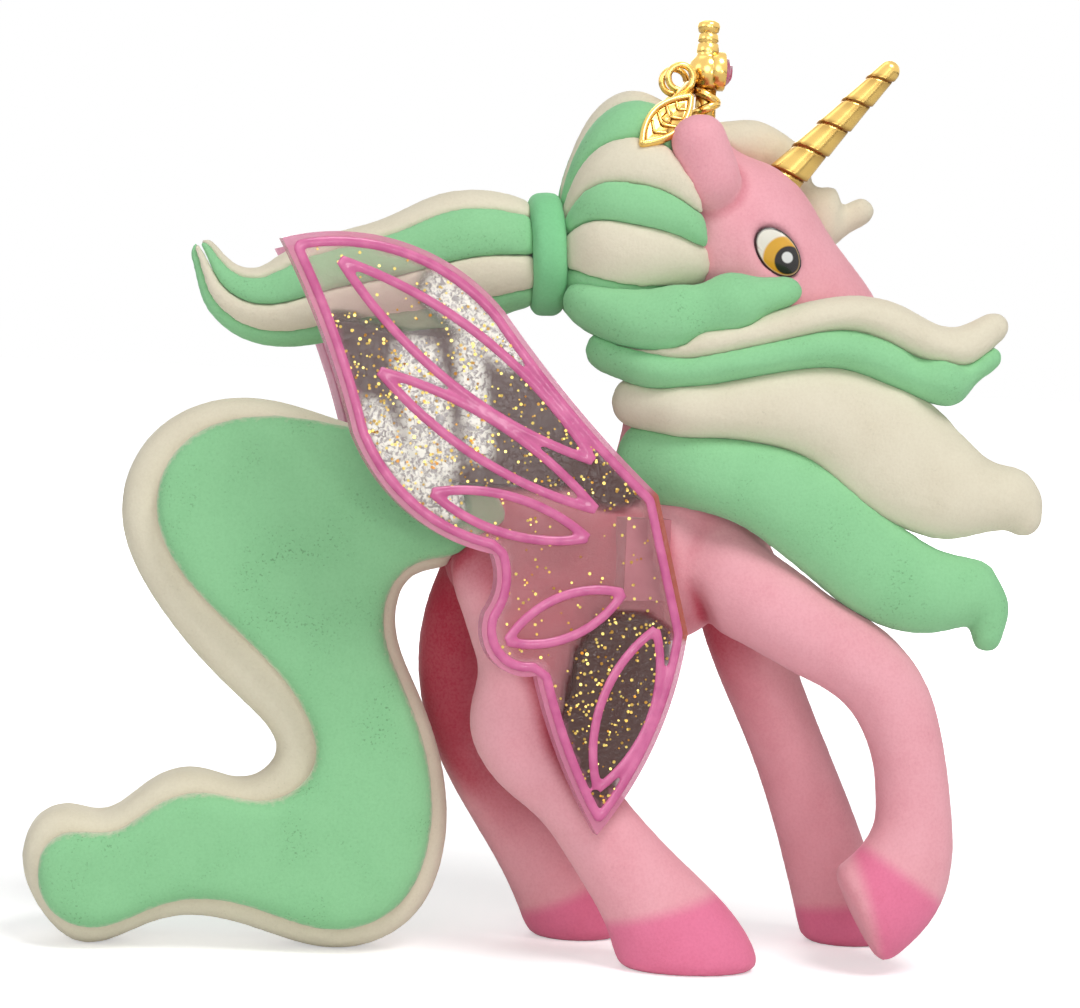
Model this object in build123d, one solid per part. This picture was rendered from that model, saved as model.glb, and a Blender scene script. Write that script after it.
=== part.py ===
from build123d import *
import math
import os

# Winged unicorn figurine, millimetres, +X towards the nose, +Y to the animal's left, +Z up.
# Every station of a limb or lock is (x, y, z, half size in the side view, half size across).

# Fits between the glued pieces
GLUE_GAP = 0.05
LIMB_PEG = 1.2
PAD_PEG = 0.6
LOCK_PEG = 0.4
FITTING_PEG = 0.55
RING_STEP = 2.2

# Barrel and neck
BARREL = [
    (-2.0, 0.0, 23.4, 3.6, 3.6),
    (0.6, 0.0, 22.9, 4.5, 4.5),
    (4.0, 0.0, 22.9, 4.6, 4.7),
    (7.6, 0.0, 23.4, 4.9, 4.6),
    (9.6, 0.0, 24.2, 4.0, 3.9),
]
NECK = [
    (7.4, 0.0, 24.6, 4.1, 3.9),
    (8.0, 0.0, 28.6, 3.7, 3.4),
    (8.4, 0.0, 33.0, 3.4, 3.1),
    (9.0, 0.0, 37.5, 3.5, 3.1),
]
NECK_PEG = 1.6
NECK_PEG_TOP = 39.8

# Head and ears
HEAD = [
    (8.2, 0.0, 44.7, 3.2, 3.2),
    (9.8, 0.0, 42.8, 4.6, 4.2),
    (11.6, 0.0, 40.4, 4.8, 4.3),
    (14.0, 0.0, 37.8, 4.5, 3.7),
    (16.1, 0.0, 35.6, 4.1, 3.2),
    (17.2, 0.0, 34.0, 3.4, 2.8),
]
EAR = [
    (9.4, -2.0, 42.8, 1.2, 1.1),
    (8.8, -3.3, 44.2, 1.4, 1.25),
    (8.1, -4.2, 45.8, 1.75, 1.45),
    (7.6, -4.5, 47.1, 1.6, 1.3),
]

# Legs, each from the hip or shoulder down to the middle of the sole
RIGHT_FORELEG = [
    (9.6, -2.6, 22.6, 3.1, 2.4),
    (12.4, -3.9, 21.2, 2.7, 2.4),
    (15.6, -4.4, 19.3, 2.45, 2.2),
    (18.6, -4.5, 17.6, 2.35, 2.1),
    (20.5, -4.5, 15.2, 2.25, 2.0),
    (21.6, -4.5, 11.6, 2.1, 1.9),
    (21.9, -4.5, 8.4, 2.3, 1.9),
    (21.2, -4.5, 5.6, 2.9, 2.2),
    (19.3, -4.5, 3.5, 3.1, 2.5),
    (17.2, -4.5, 2.3, 3.2, 2.6),
]
RIGHT_FORE_SOLE = ((18.8, -4.5, 3.2), (-0.88, 0.0, -0.475))
LEFT_FORELEG = [
    (11.8, 2.6, 22.6, 2.7, 2.3),
    (13.5, 3.9, 17.4, 2.35, 2.1),
    (15.2, 4.3, 13.6, 2.2, 2.0),
    (16.7, 4.3, 10.2, 2.25, 2.0),
    (18.2, 4.3, 6.4, 2.45, 2.0),
    (19.3, 4.3, 3.2, 2.6, 2.2),
    (20.2, 4.3, 0.4, 2.75, 2.4),
    (21.2, 4.3, -2.6, 3.0, 2.6),
]
RIGHT_HIND_LEG = [
    (-1.0, -2.6, 22.4, 4.2, 2.3),
    (-0.6, -3.6, 18.6, 3.4, 2.4),
    (-0.5, -3.8, 16.2, 3.0, 2.3),
    (-1.0, -3.8, 13.7, 2.9, 2.2),
    (1.5, -3.9, 10.3, 2.3, 2.0),
    (4.2, -4.0, 7.1, 2.4, 2.0),
    (6.7, -4.3, 4.0, 2.9, 2.3),
    (8.7, -4.5, 0.9, 3.8, 2.7),
    (10.0, -4.6, -2.2, 4.1, 2.9),
]
LEFT_HIND_LEG = [
    (-1.2, 2.6, 22.4, 3.8, 2.3),
    (-3.2, 3.6, 18.0, 3.2, 2.3),
    (-3.4, 3.9, 14.0, 2.7, 2.1),
    (-1.2, 4.1, 8.8, 2.4, 2.0),
    (1.3, 4.2, 4.8, 2.4, 2.1),
    (3.4, 4.3, 0.9, 2.65, 2.4),
    (5.2, 4.3, -2.7, 2.85, 2.6),
]
FLAT_SOLE = ((0.0, 0.0, 0.0), (0.0, 0.0, -1.0))
LEGS = [
    ("right_foreleg", RIGHT_FORELEG),
    ("left_foreleg", LEFT_FORELEG),
    ("right_hind_leg", RIGHT_HIND_LEG),
    ("left_hind_leg", LEFT_HIND_LEG),
]
LIMB_PEG_INNER = 0.9
LIMB_PEG_BURIED = 1.2
HOOF_ROUND = 0.5

# Tail: outline in the side view, core thickness and the pads on both faces
TAIL_OUTLINE = [
    (-3.4, 26.9),
    (-6.4, 28.6),
    (-11.7, 30.3),
    (-17.5, 31.4),
    (-22.3, 29.2),
    (-23.9, 24.8),
    (-21.4, 19.2),
    (-16.9, 14.4),
    (-14.6, 10.9),
    (-16.2, 9.5),
    (-19.0, 10.0),
    (-21.8, 9.2),
    (-24.6, 7.4),
    (-26.4, 7.7),
    (-28.0, 7.1),
    (-28.8, 5.2),
    (-27.9, 2.2),
    (-25.4, 0.05),
    (-20.9, 1.5),
    (-15.8, 1.2),
    (-10.5, 0.05),
    (-6.6, 1.8),
    (-4.8, 6.3),
    (-5.2, 10.9),
    (-7.0, 15.5),
    (-8.2, 19.0),
    (-7.4, 21.6),
    (-5.0, 22.2),
    (-2.4, 22.8),
    (-1.4, 24.8),
]
TAIL_PAD_OUTLINE = [
    (-3.6, 27.2),
    (-6.8, 28.9),
    (-12.4, 30.3),
    (-16.8, 30.5),
    (-20.6, 28.8),
    (-22.0, 25.4),
    (-20.6, 21.8),
    (-16.6, 17.8),
    (-13.4, 14.2),
    (-12.6, 10.6),
    (-14.4, 8.9),
    (-18.6, 9.1),
    (-21.4, 8.3),
    (-23.8, 6.7),
    (-25.8, 6.7),
    (-27.2, 6.2),
    (-27.9, 4.4),
    (-26.9, 2.0),
    (-24.9, 1.2),
    (-20.6, 2.7),
    (-15.8, 2.6),
    (-10.6, 1.4),
    (-7.4, 2.9),
    (-5.8, 6.6),
    (-6.0, 11.0),
    (-7.7, 15.6),
    (-8.9, 19.2),
    (-7.9, 22.0),
    (-5.2, 22.9),
    (-2.8, 23.2),
    (-2.0, 25.2),
]
TAIL_CORE = 4.4
TAIL_CORE_ROUND = 1.2
TAIL_PAD = 1.5
TAIL_PAD_ROUND = 0.9
TAIL_PEG_ROOT = (-10.0, 0.0, 25.6)
TAIL_PEG_END = (-2.6, 0.0, 24.2)
PAD_PEGS = [(-18.0, 26.0), (-9.6, 7.0)]
PAD_PEG_DEPTH = 1.2

# Hair cap: x and z of the middle, radius up, radius across, tilt of the section.
# Every border between two strands is an angle from the top, at the first and at the last section.
HAIR_TIE = (-0.3, 0.0, 40.4)
HAIR_TILT = 4.0
TIE_RADIUS = 3.5
TIE_WIDTH = 1.8
CAP_START = (3.1, 2.8)
CAP = [
    (1.3, 41.1, 4.7, 4.1, 6.0),
    (2.5, 41.9, 6.2, 5.0, 7.0),
    (3.9, 42.6, 6.9, 5.4, 8.5),
    (5.6, 43.2, 6.9, 5.6, 10.0),
    (7.0, 43.4, 6.4, 5.5, 12.0),
    (7.9, 43.6, 5.7, 5.0, 13.0),
]
CAP_STRANDS = [(6.0, 22.0), (26.0, 66.0), (46.0, 98.0), (68.0, 120.0), (109.0, 147.0)]
STRAND_LEVELS = ["upper", "lower"]
STRAND_GAP = 0.1
STRAND_GROOVE = 0.06
HAIR_PIN = 1.1
HAIR_PIN_TILT = 8.0
HAIR_PIN_FRONT = 9.6
HAIR_PIN_BACK = 5.0

# Ponytail from the tip to the tie
PONYTAIL = [
    (-19.8, 0.0, 39.6, 0.8, 0.8),
    (-19.2, 0.0, 38.4, 1.2, 1.1),
    (-17.0, 0.0, 36.9, 2.1, 1.8),
    (-13.2, 0.0, 37.7, 2.9, 2.4),
    (-8.6, 0.0, 38.9, 3.3, 2.7),
    (-4.6, 0.0, 40.1, 3.8, 2.9),
]
PONYTAIL_END = (3.0, 2.6)
PONYTAIL_STRANDS = [(39.0, 39.0), (92.0, 92.0), (138.0, 138.0)]

# Locks of the mane, root to tip
CHEEK_LOCK = [
    (2.0, -2.6, 37.9, 1.6, 1.5),
    (4.7, -4.2, 36.8, 1.55, 1.5),
    (8.4, -5.0, 37.3, 1.45, 1.4),
    (10.8, -5.1, 38.2, 1.25, 1.3),
    (13.0, -5.0, 38.8, 0.9, 1.0),
]
UPPER_LOCK_WHITE = [
    (4.6, -2.9, 35.6, 1.0, 1.3),
    (7.0, -4.2, 35.5, 1.0, 1.4),
    (10.0, -4.8, 36.1, 0.95, 1.5),
    (13.4, -4.9, 37.0, 0.95, 1.5),
    (16.6, -4.9, 37.7, 1.0, 1.5),
    (19.4, -4.9, 37.1, 1.15, 1.5),
    (22.2, -4.9, 36.1, 1.05, 1.4),
    (24.2, -4.9, 36.5, 1.1, 1.2),
    (25.0, -4.9, 37.3, 0.85, 0.9),
]
UPPER_LOCK_MINT = [
    (3.2, -2.6, 35.0, 1.2, 1.3),
    (5.0, -3.6, 34.3, 1.15, 1.5),
    (7.2, -4.3, 34.1, 1.05, 1.6),
    (10.0, -4.8, 34.6, 1.0, 1.7),
    (13.4, -4.9, 35.4, 1.05, 1.7),
    (16.4, -4.9, 35.7, 1.15, 1.7),
    (19.2, -4.9, 34.9, 1.2, 1.6),
    (22.0, -4.9, 34.1, 1.15, 1.5),
    (24.0, -4.9, 34.7, 0.95, 1.2),
    (24.8, -4.9, 35.5, 0.7, 0.9),
]
MIDDLE_LOCK = [
    (5.0, -2.8, 32.2, 1.5, 1.4),
    (7.0, -4.0, 31.9, 1.5, 1.6),
    (10.0, -4.6, 32.1, 1.8, 1.7),
    (12.8, -4.7, 32.3, 2.3, 1.7),
    (15.8, -4.8, 31.9, 2.9, 1.8),
    (18.6, -4.8, 30.5, 3.5, 1.8),
    (21.2, -4.8, 28.8, 3.4, 1.8),
    (24.0, -4.8, 27.7, 2.5, 1.7),
    (26.4, -4.8, 27.6, 1.8, 1.5),
]
MIDDLE_HOOK = [
    (25.8, -4.8, 28.0, 1.3, 1.3),
    (27.0, -4.8, 27.5, 1.3, 1.3),
    (27.3, -4.8, 26.5, 1.05, 1.1),
]
LOWER_LOCK = [
    (5.8, -2.8, 28.8, 2.5, 1.4),
    (8.6, -4.2, 28.4, 2.2, 1.6),
    (11.6, -4.8, 27.8, 2.4, 1.7),
    (14.4, -4.9, 26.6, 2.8, 1.7),
    (17.0, -4.9, 24.7, 2.8, 1.7),
    (19.6, -4.9, 22.9, 2.75, 1.7),
    (22.2, -4.9, 22.1, 2.4, 1.65),
    (24.4, -4.9, 22.2, 1.9, 1.5),
]
LOWER_HOOK = [
    (23.0, -4.8, 22.0, 1.2, 1.1),
    (25.0, -4.9, 22.1, 1.35, 1.25),
    (25.6, -4.9, 20.6, 1.05, 1.1),
    (25.5, -4.9, 19.6, 0.85, 0.9),
]
FORELOCK = [
    (9.4, 1.0, 47.3, 1.2, 1.2),
    (12.4, 2.4, 47.4, 1.3, 1.1),
    (14.8, 3.0, 45.4, 1.3, 1.1),
    (16.4, 3.2, 43.4, 1.4, 1.1),
    (17.9, 3.2, 43.0, 1.2, 1.0),
    (18.7, 3.2, 43.9, 0.8, 0.8),
]
LOCKS = [
    ("cheek_lock", CHEEK_LOCK),
    ("upper_lock_white", UPPER_LOCK_WHITE),
    ("upper_lock_mint", UPPER_LOCK_MINT),
    ("middle_lock", MIDDLE_LOCK),
    ("lower_lock", LOWER_LOCK),
    ("forelock", FORELOCK),
]
LOCK_HOOKS = {"middle_lock": MIDDLE_HOOK, "lower_lock": LOWER_HOOK}
LOCK_PEGS = [
    ("cheek_lock", "head", (11.2, -4.9, 38.2), (11.2, -2.4, 38.2)),
    ("upper_lock_white", "head", (14.6, -4.6, 37.3), (14.6, -2.2, 37.0)),
    ("upper_lock_mint", "torso", (7.2, -4.0, 33.9), (7.2, -1.4, 33.9)),
    ("middle_lock", "torso", (8.4, -4.0, 31.8), (8.4, -1.4, 31.8)),
    ("lower_lock", "torso", (8.8, -4.0, 27.8), (8.8, -1.4, 27.8)),
    ("forelock", "head", (12.2, 2.2, 47.0), (11.2, 1.4, 44.4)),
]

# Wings: flat plates with a raised edge and veins, hinged out backwards by the flare
WING_ROOT_X = 7.5
WING_ROOT_Y = 5.7
WING_FLARE = 10.0
WING_PLATE = 0.9
WING_RIB = 0.35
WING_RIM = 0.8
WING_VEIN = 0.6
WING_ARCS = [
    [(-1.8, 27.1), (-6.7, 31.8), (-11.1, 36.9)],
    [(-11.1, 36.9), (-16.2, 40.2), (-23.6, 40.3)],
    [(-23.6, 40.3), (-21.2, 35.4), (-19.3, 30.0)],
    [(-19.3, 30.0), (-16.2, 25.9), (-11.2, 23.6)],
    [(-11.2, 23.6), (-10.9, 22.0), (-11.5, 20.4)],
    [(-11.5, 20.4), (-11.1, 17.9), (-8.4, 16.9)],
    [(-8.4, 16.9), (-6.9, 12.6), (-4.5, 8.0)],
    [(-4.5, 8.0), (-1.5, 12.8), (0.3, 19.4)],
]
WING_LEAVES = [
    [(-6.0, 28.6), (-20.6, 39.2), 0.10],
    [(-5.4, 26.2), (-18.2, 34.0), 0.11],
    [(-5.8, 24.6), (-14.8, 26.9), 0.11],
    [(-3.6, 21.6), (-10.2, 18.8), 0.16],
    [(-1.6, 19.6), (-4.6, 10.6), 0.16],
]
WING_PEG_AT = (-2.0, 23.4)
WING_PEG = 0.9
WING_PEG_DEPTH = 3.6
WING_PAD = (2.6, 4.6, 2.4)

# Horn
HORN_BASE = (13.2, 0.0, 45.2)
HORN_TIP = (19.7, 0.0, 52.4)
HORN_BASE_RADIUS = 1.15
HORN_TIP_RADIUS = 0.6
HORN_TURNS = 5
HORN_GROOVE = 0.11
HORN_STEPS = 6
HORN_PEG_DEPTH = 3.0

# Tiara and its stone
TIARA_END = (5.7, -3.9, 47.9)
TIARA_SIDE = (6.7, -2.3, 49.4)
TIARA_CROWN = (7.5, 0.0, 50.3)
TIARA_WIRE = 0.45
TIARA_POST_X = 8.6
TIARA_POST_TOP = 53.6
TIARA_POST = 0.6
TIARA_BEAD = 1.1
TIARA_STEM_FOOT = 47.6
TIARA_STEM = 0.65
COLLAR_HEIGHTS = [48.9, 49.9]
COLLAR_RADIUS = 0.72
COLLAR_WIRE = 0.28
COLLAR_LEAN = 28.0
LOOP_AT = (6.9, -1.3, 50.8)
LOOP_RADIUS = 0.72
LOOP_WIRE = 0.2
LEAF_AT = (5.8, -4.05, 48.1)
LEAF_LENGTH = 4.8
LEAF_WIDTH = 2.2
LEAF_THICKNESS = 0.7
LEAF_LEAN = 52.0
LEAF_TIP_BACK = 27.0
STONE_Z = 51.4
STONE_RADIUS = 0.95
STONE_SEAT = 0.8
STONE_CROWN = 0.43
BEZEL_WALL = 0.2
BEZEL_FRONT = 9.6
TIARA_PEG_DEPTH = 2.0

# Eyes
EYE_AT = (12.5, -4.0, 41.0)
EYE_LONG = 1.65
EYE_SHORT = 1.05
EYE_TILT = 45.0
EYE_DEPTH = 1.0
EYE_REACH = 3.0
EYE_PROUD = 0.25


def plane_across(point, tangent):
    along = Vector(*tangent).normalized()
    return Plane(origin=point, x_dir=along.cross(Vector(0, 1, 0)), z_dir=along)


def bends(knots, values):
    count = len(values)
    upper, right = [0.0] * count, [0.0] * count
    for i in range(1, count - 1):
        before, after = knots[i] - knots[i - 1], knots[i + 1] - knots[i]
        jump = 6 * ((values[i + 1] - values[i]) / after - (values[i] - values[i - 1]) / before)
        pivot = 2 * (before + after) - before * upper[i - 1]
        upper[i] = after / pivot
        right[i] = (jump - before * right[i - 1]) / pivot
    found = [0.0] * count
    for i in range(count - 2, 0, -1):
        found[i] = right[i] - upper[i] * found[i + 1]
    return found


def blend(knots, values, bend, at):
    i = max(k for k in range(len(knots) - 1) if knots[k] <= at + 1e-9)
    span = knots[i + 1] - knots[i]
    b = (at - knots[i]) / span
    a = 1 - b
    curve = ((a**3 - a) * bend[i] + (b**3 - b) * bend[i + 1]) * span * span / 6
    return a * values[i] + b * values[i + 1] + curve


def refine(stations):
    points = [Vector(*station[:3]) for station in stations]
    knots = [0.0]
    for a, b in zip(points, points[1:]):
        knots.append(knots[-1] + (b - a).length)
    count = max(3, math.ceil(knots[-1] / RING_STEP))
    columns = [(column, bends(knots, column)) for column in zip(*stations)]
    places = [knots[-1] * k / count for k in range(count + 1)]
    return [[blend(knots, column, bend, at) for column, bend in columns] for at in places]


def rings_along(stations, dome_start, dome_end):
    fine = refine(stations)
    points = [Vector(*row[:3]) for row in fine]
    last = len(points) - 1
    rings = []
    for i, row in enumerate(fine):
        way = points[min(i + 1, last)] - points[max(i - 1, 0)]
        rings.append((points[i], way, row[3], row[4]))
    first, final = rings[0], rings[-1]
    if dome_start:
        rings = domed(*first, -1)[::-1] + rings
    if dome_end:
        rings = rings + domed(*final, 1)
    return [(plane_across(point, way), up, wide) for point, way, up, wide in rings]


def domed(point, along, half_up, half_across, outward):
    reach = outward * (half_up + half_across) / 2
    unit = along.normalized()
    rings = []
    for angle in (28.0, 52.0, 72.0):
        share = math.cos(math.radians(angle))
        ahead = point + unit * (reach * math.sin(math.radians(angle)))
        rings.append((ahead, unit, half_up * share, half_across * share))
    return rings


def tube(stations, dome_start=True, dome_end=True):
    rings = rings_along(stations, dome_start, dome_end)
    return loft([plane * Ellipse(up, wide) for plane, up, wide in rings])


def rod(start, end, radius):
    start, end = Vector(*start), Vector(*end)
    way = end - start
    return Plane(origin=start, z_dir=way) * Cylinder(
        radius, way.length, align=(Align.CENTER, Align.CENTER, Align.MIN)
    )


def socket(start, end, radius):
    start, end = Vector(*start), Vector(*end)
    deep = end + (end - start).normalized() * GLUE_GAP
    return rod(start, deep, radius + GLUE_GAP)


def flip(shape):
    return mirror(shape, about=Plane.XZ)


def apart(first, second):
    gaps = (first.min - second.max, second.min - first.max)
    return any(value > 0 for gap in gaps for value in (gap.X, gap.Y, gap.Z))


def cut(shape, tools):
    box = shape.bounding_box()
    near = [tool for tool in tools if not apart(box, tool.bounding_box())]
    return shape - near if near else shape


def biggest(shape):
    return max(shape.solids(), key=lambda solid: solid.volume)


def torso_form():
    return tube(BARREL) + tube(NECK, dome_start=False)


def head_form():
    ear = tube(EAR, dome_start=False)
    return tube(HEAD) + ear + flip(ear)


def lock_form(name):
    stations = dict(LOCKS)[name]
    if name in LOCK_HOOKS:
        return tube(stations) + tube(LOCK_HOOKS[name])
    return tube(stations)


def leg_form(stations, sole):
    leg = tube(stations, dome_end=False)
    plane = Plane(origin=sole[0], z_dir=sole[1])
    leg = biggest(split(leg, bisect_by=plane, keep=Keep.BOTTOM))
    rim = [edge for edge in leg.edges() if abs(plane.to_local_coords(edge.center()).Z) < 0.01]
    return fillet(rim, HOOF_ROUND)


def limb_peg(stations):
    x, y, z = stations[0][:3]
    side = math.copysign(1.0, y)
    return Vector(x, y + side * LIMB_PEG_BURIED, z), Vector(x, side * LIMB_PEG_INNER, z), LIMB_PEG


def tail_core_form():
    face = make_face(Spline(*TAIL_OUTLINE, periodic=True))
    core = extrude(Plane.XZ * face, amount=TAIL_CORE / 2, both=True)
    rims = [edge for edge in core.edges() if abs(edge.center().Y) > TAIL_CORE / 2 - 0.01]
    return fillet(rims, TAIL_CORE_ROUND)


def tail_pad_form():
    face = make_face(Spline(*TAIL_PAD_OUTLINE, periodic=True))
    pad = extrude(Plane.XZ.offset(TAIL_CORE / 2) * face, amount=TAIL_PAD)
    outer = [edge for edge in pad.edges() if edge.center().Y < -TAIL_CORE / 2 - TAIL_PAD + 0.01]
    return fillet(outer, TAIL_PAD_ROUND)


def tilted(angle):
    turn = math.radians(angle)
    return Vector(math.cos(turn), 0, math.sin(turn))


def tie_face(side):
    return Vector(*HAIR_TIE) + tilted(HAIR_TILT) * (side * TIE_WIDTH / 2)


def strand_point(angle, up, wide, share):
    turn = math.radians(angle)
    return Vector(up * share * math.cos(turn), wide * share * math.sin(turn), 0)


def strand_section(low, high, up, wide):
    gap = STRAND_GAP / 2
    half = math.radians((high - low) / 2)
    tip = strand_point((low + high) / 2, 1.0, 1.0, gap / math.sin(half))
    valley = 1.0 - STRAND_GROOVE
    start = strand_point(low, up, wide, valley) + strand_point(low + 90.0, gap, gap, 1.0)
    end = strand_point(high, up, wide, valley) - strand_point(high + 90.0, gap, gap, 1.0)
    middle = strand_point((low + high) / 2, up, wide, 1.0)
    return make_face([Line(tip, start), ThreePointArc(start, middle, end), Line(end, tip)])


def strand(rings, lows, highs):
    sections = []
    for (plane, up, wide), low, high in zip(rings, lows, highs):
        sections.append(plane * strand_section(low, high, up, wide))
    return loft(sections)


def borders_along(pairs, count):
    shares = [k / (count - 1) for k in range(count)]
    return [[start + (end - start) * share for share in shares] for start, end in pairs]


def mirrored_angles(angles):
    return [-angle for angle in angles]


def cap_rings():
    rings = [(plane_across(tie_face(1), tilted(HAIR_TILT)), *CAP_START)]
    for x, z, up, wide, tilt in CAP:
        rings.append((plane_across((x, 0, z), tilted(tilt)), up, wide))
    return rings


def ponytail_rings():
    back = tie_face(-1)
    stations = PONYTAIL + [(back.X, back.Y, back.Z, *PONYTAIL_END)]
    rings = rings_along(stations, True, False)
    return rings[:-1] + [(plane_across(back, tilted(HAIR_TILT)), *PONYTAIL_END)]


def hair_tie_form():
    band = Cylinder(TIE_RADIUS, TIE_WIDTH)
    band = fillet(band.edges(), TIE_WIDTH * 0.3)
    return plane_across(HAIR_TIE, tilted(HAIR_TILT)) * band


def hair_pin_ends():
    way = tilted(HAIR_PIN_TILT)
    return Vector(*HAIR_TIE) - way * HAIR_PIN_BACK, Vector(*HAIR_TIE) + way * HAIR_PIN_FRONT


def wing_plane():
    flare = math.radians(WING_FLARE)
    return Plane(
        origin=(WING_ROOT_X, -WING_ROOT_Y, 0),
        x_dir=(math.cos(flare), math.sin(flare), 0),
        z_dir=(math.sin(flare), -math.cos(flare), 0),
    )


def wing_outline():
    edges = [ThreePointArc(*points) for points in WING_ARCS]
    edges.append(Line(WING_ARCS[-1][-1], WING_ARCS[0][0]))
    return make_face(edges)


def leaf_face(start, end, bulge):
    start, end = Vector(*start), Vector(*end)
    middle, across = (start + end) / 2, Vector(start.Y - end.Y, end.X - start.X) * bulge
    upper = ThreePointArc(start, middle + across, end)
    lower = ThreePointArc(end, middle - across, start)
    return make_face([upper, lower])


def wing_form():
    outline = wing_outline()
    lines = [outline - offset(outline, amount=-WING_RIM)]
    for start, end, bulge in WING_LEAVES:
        leaf = leaf_face(start, end, bulge)
        lines.append(leaf - offset(leaf, amount=-WING_VEIN))
    wing = extrude(outline, amount=WING_PLATE)
    for line in lines:
        wing = wing + extrude(Pos(0, 0, WING_PLATE) * line, amount=WING_RIB)
    pad = Pos(*WING_PEG_AT, 0) * Box(*WING_PAD, align=(Align.CENTER, Align.CENTER, Align.MAX))
    return wing_plane() * (wing + pad)


def horn_form():
    base, tip = Vector(*HORN_BASE), Vector(*HORN_TIP)
    way = tip - base
    sections = []
    count = HORN_TURNS * HORN_STEPS
    for step in range(count + 1):
        share = step / count
        radius = HORN_BASE_RADIUS + (HORN_TIP_RADIUS - HORN_BASE_RADIUS) * share
        swing = radius * HORN_GROOVE
        plane = plane_across(base + way * share, way)
        turn = Rot(0, 0, 360.0 * step / HORN_STEPS)
        sections.append(plane * turn * Pos(swing, 0) * Circle(radius - swing))
    return loft(sections)


def tiara_leaf():
    back = math.radians(LEAF_TIP_BACK)
    outward = Vector(0, -math.cos(back), math.sin(back))
    ahead = tilted(LEAF_LEAN)
    plane = Plane(origin=LEAF_AT, x_dir=ahead - outward * ahead.dot(outward), z_dir=outward)
    half, rise = LEAF_LENGTH / 2, LEAF_WIDTH / 2
    upper = ThreePointArc((-half, 0), (0, rise), (half, 0))
    lower = ThreePointArc((half, 0), (0, -rise), (-half, 0))
    return plane * extrude(make_face([upper, lower]), amount=LEAF_THICKNESS / 2, both=True)


def tiara_band():
    left = [(x, -y, z) for x, y, z in (TIARA_SIDE, TIARA_END)]
    path = Spline(TIARA_END, TIARA_SIDE, TIARA_CROWN, *left)
    band = sweep(Plane(origin=path @ 0, z_dir=path % 0) * Circle(TIARA_WIRE), path=path)
    loop = Plane(origin=LOOP_AT, z_dir=(0, 1, 0)) * Torus(LOOP_RADIUS, LOOP_WIRE)
    sides = [tiara_leaf(), loop]
    return band + sides + [flip(shape) for shape in sides]


def tiara_form():
    foot = (TIARA_POST_X, 0, TIARA_STEM_FOOT)
    heart = (TIARA_POST_X, 0, STONE_Z)
    top = (TIARA_POST_X, 0, TIARA_POST_TOP)
    stem = rod(foot, heart, TIARA_STEM)
    for height in COLLAR_HEIGHTS:
        tilt = Pos(TIARA_POST_X, 0, height) * Rot(0, COLLAR_LEAN, 0)
        stem = stem + tilt * Torus(COLLAR_RADIUS, COLLAR_WIRE)
    post = rod(heart, top, TIARA_POST)
    bead = Pos(*heart) * Sphere(TIARA_BEAD)
    knob = Pos(*top) * Sphere(TIARA_POST * 1.2)
    bezel = rod(heart, (BEZEL_FRONT, 0, STONE_Z), STONE_RADIUS + BEZEL_WALL)
    link = rod(TIARA_CROWN, (TIARA_POST_X, 0, TIARA_CROWN[2]), TIARA_WIRE)
    return stem + link + post + bead + knob + bezel + tiara_band()


def stone_parts():
    back = (BEZEL_FRONT - STONE_SEAT, 0, STONE_Z)
    cup = rod(back, (BEZEL_FRONT + STONE_SEAT, 0, STONE_Z), STONE_RADIUS + GLUE_GAP)
    plane = Plane(origin=back, x_dir=(0, 1, 0), z_dir=(1, 0, 0))
    outline = RegularPolygon(STONE_RADIUS, 8)
    girdle = extrude(plane * outline, amount=STONE_SEAT)
    crown = extrude(plane.offset(STONE_SEAT) * outline, amount=STONE_CROWN, taper=40)
    return girdle + crown, cup


def eye_plug(grow):
    plane = Plane(origin=EYE_AT, x_dir=(1, 0, 0), z_dir=(0, -1, 0)) * Rot(0, 0, -EYE_TILT)
    oval = plane * Ellipse(EYE_LONG + grow, EYE_SHORT + grow)
    return extrude(oval, amount=EYE_REACH) + extrude(oval, amount=-EYE_DEPTH)


def eye_forms(head_tube):
    core = Vector(*HEAD[2][:3])
    swell = 1.0 + EYE_PROUD / (Vector(*EYE_AT) - core).length
    grown = Pos(core) * scale(Pos(-core) * head_tube, by=swell)
    return eye_plug(0) & grown, eye_plug(GLUE_GAP)


def wing_peg():
    plane = wing_plane()
    u, v = WING_PEG_AT
    start = plane.from_local_coords((u, v, WING_PLATE / 4))
    end = plane.from_local_coords((u, v, -WING_PEG_DEPTH))
    return start, end, WING_PEG


def mirrored(peg):
    start, end, radius = peg
    return Vector(start.X, -start.Y, start.Z), Vector(end.X, -end.Y, end.Z), radius


def horn_peg():
    base, tip = Vector(*HORN_BASE), Vector(*HORN_TIP)
    way = (tip - base).normalized()
    return base + way, base - way * HORN_PEG_DEPTH, FITTING_PEG


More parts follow.
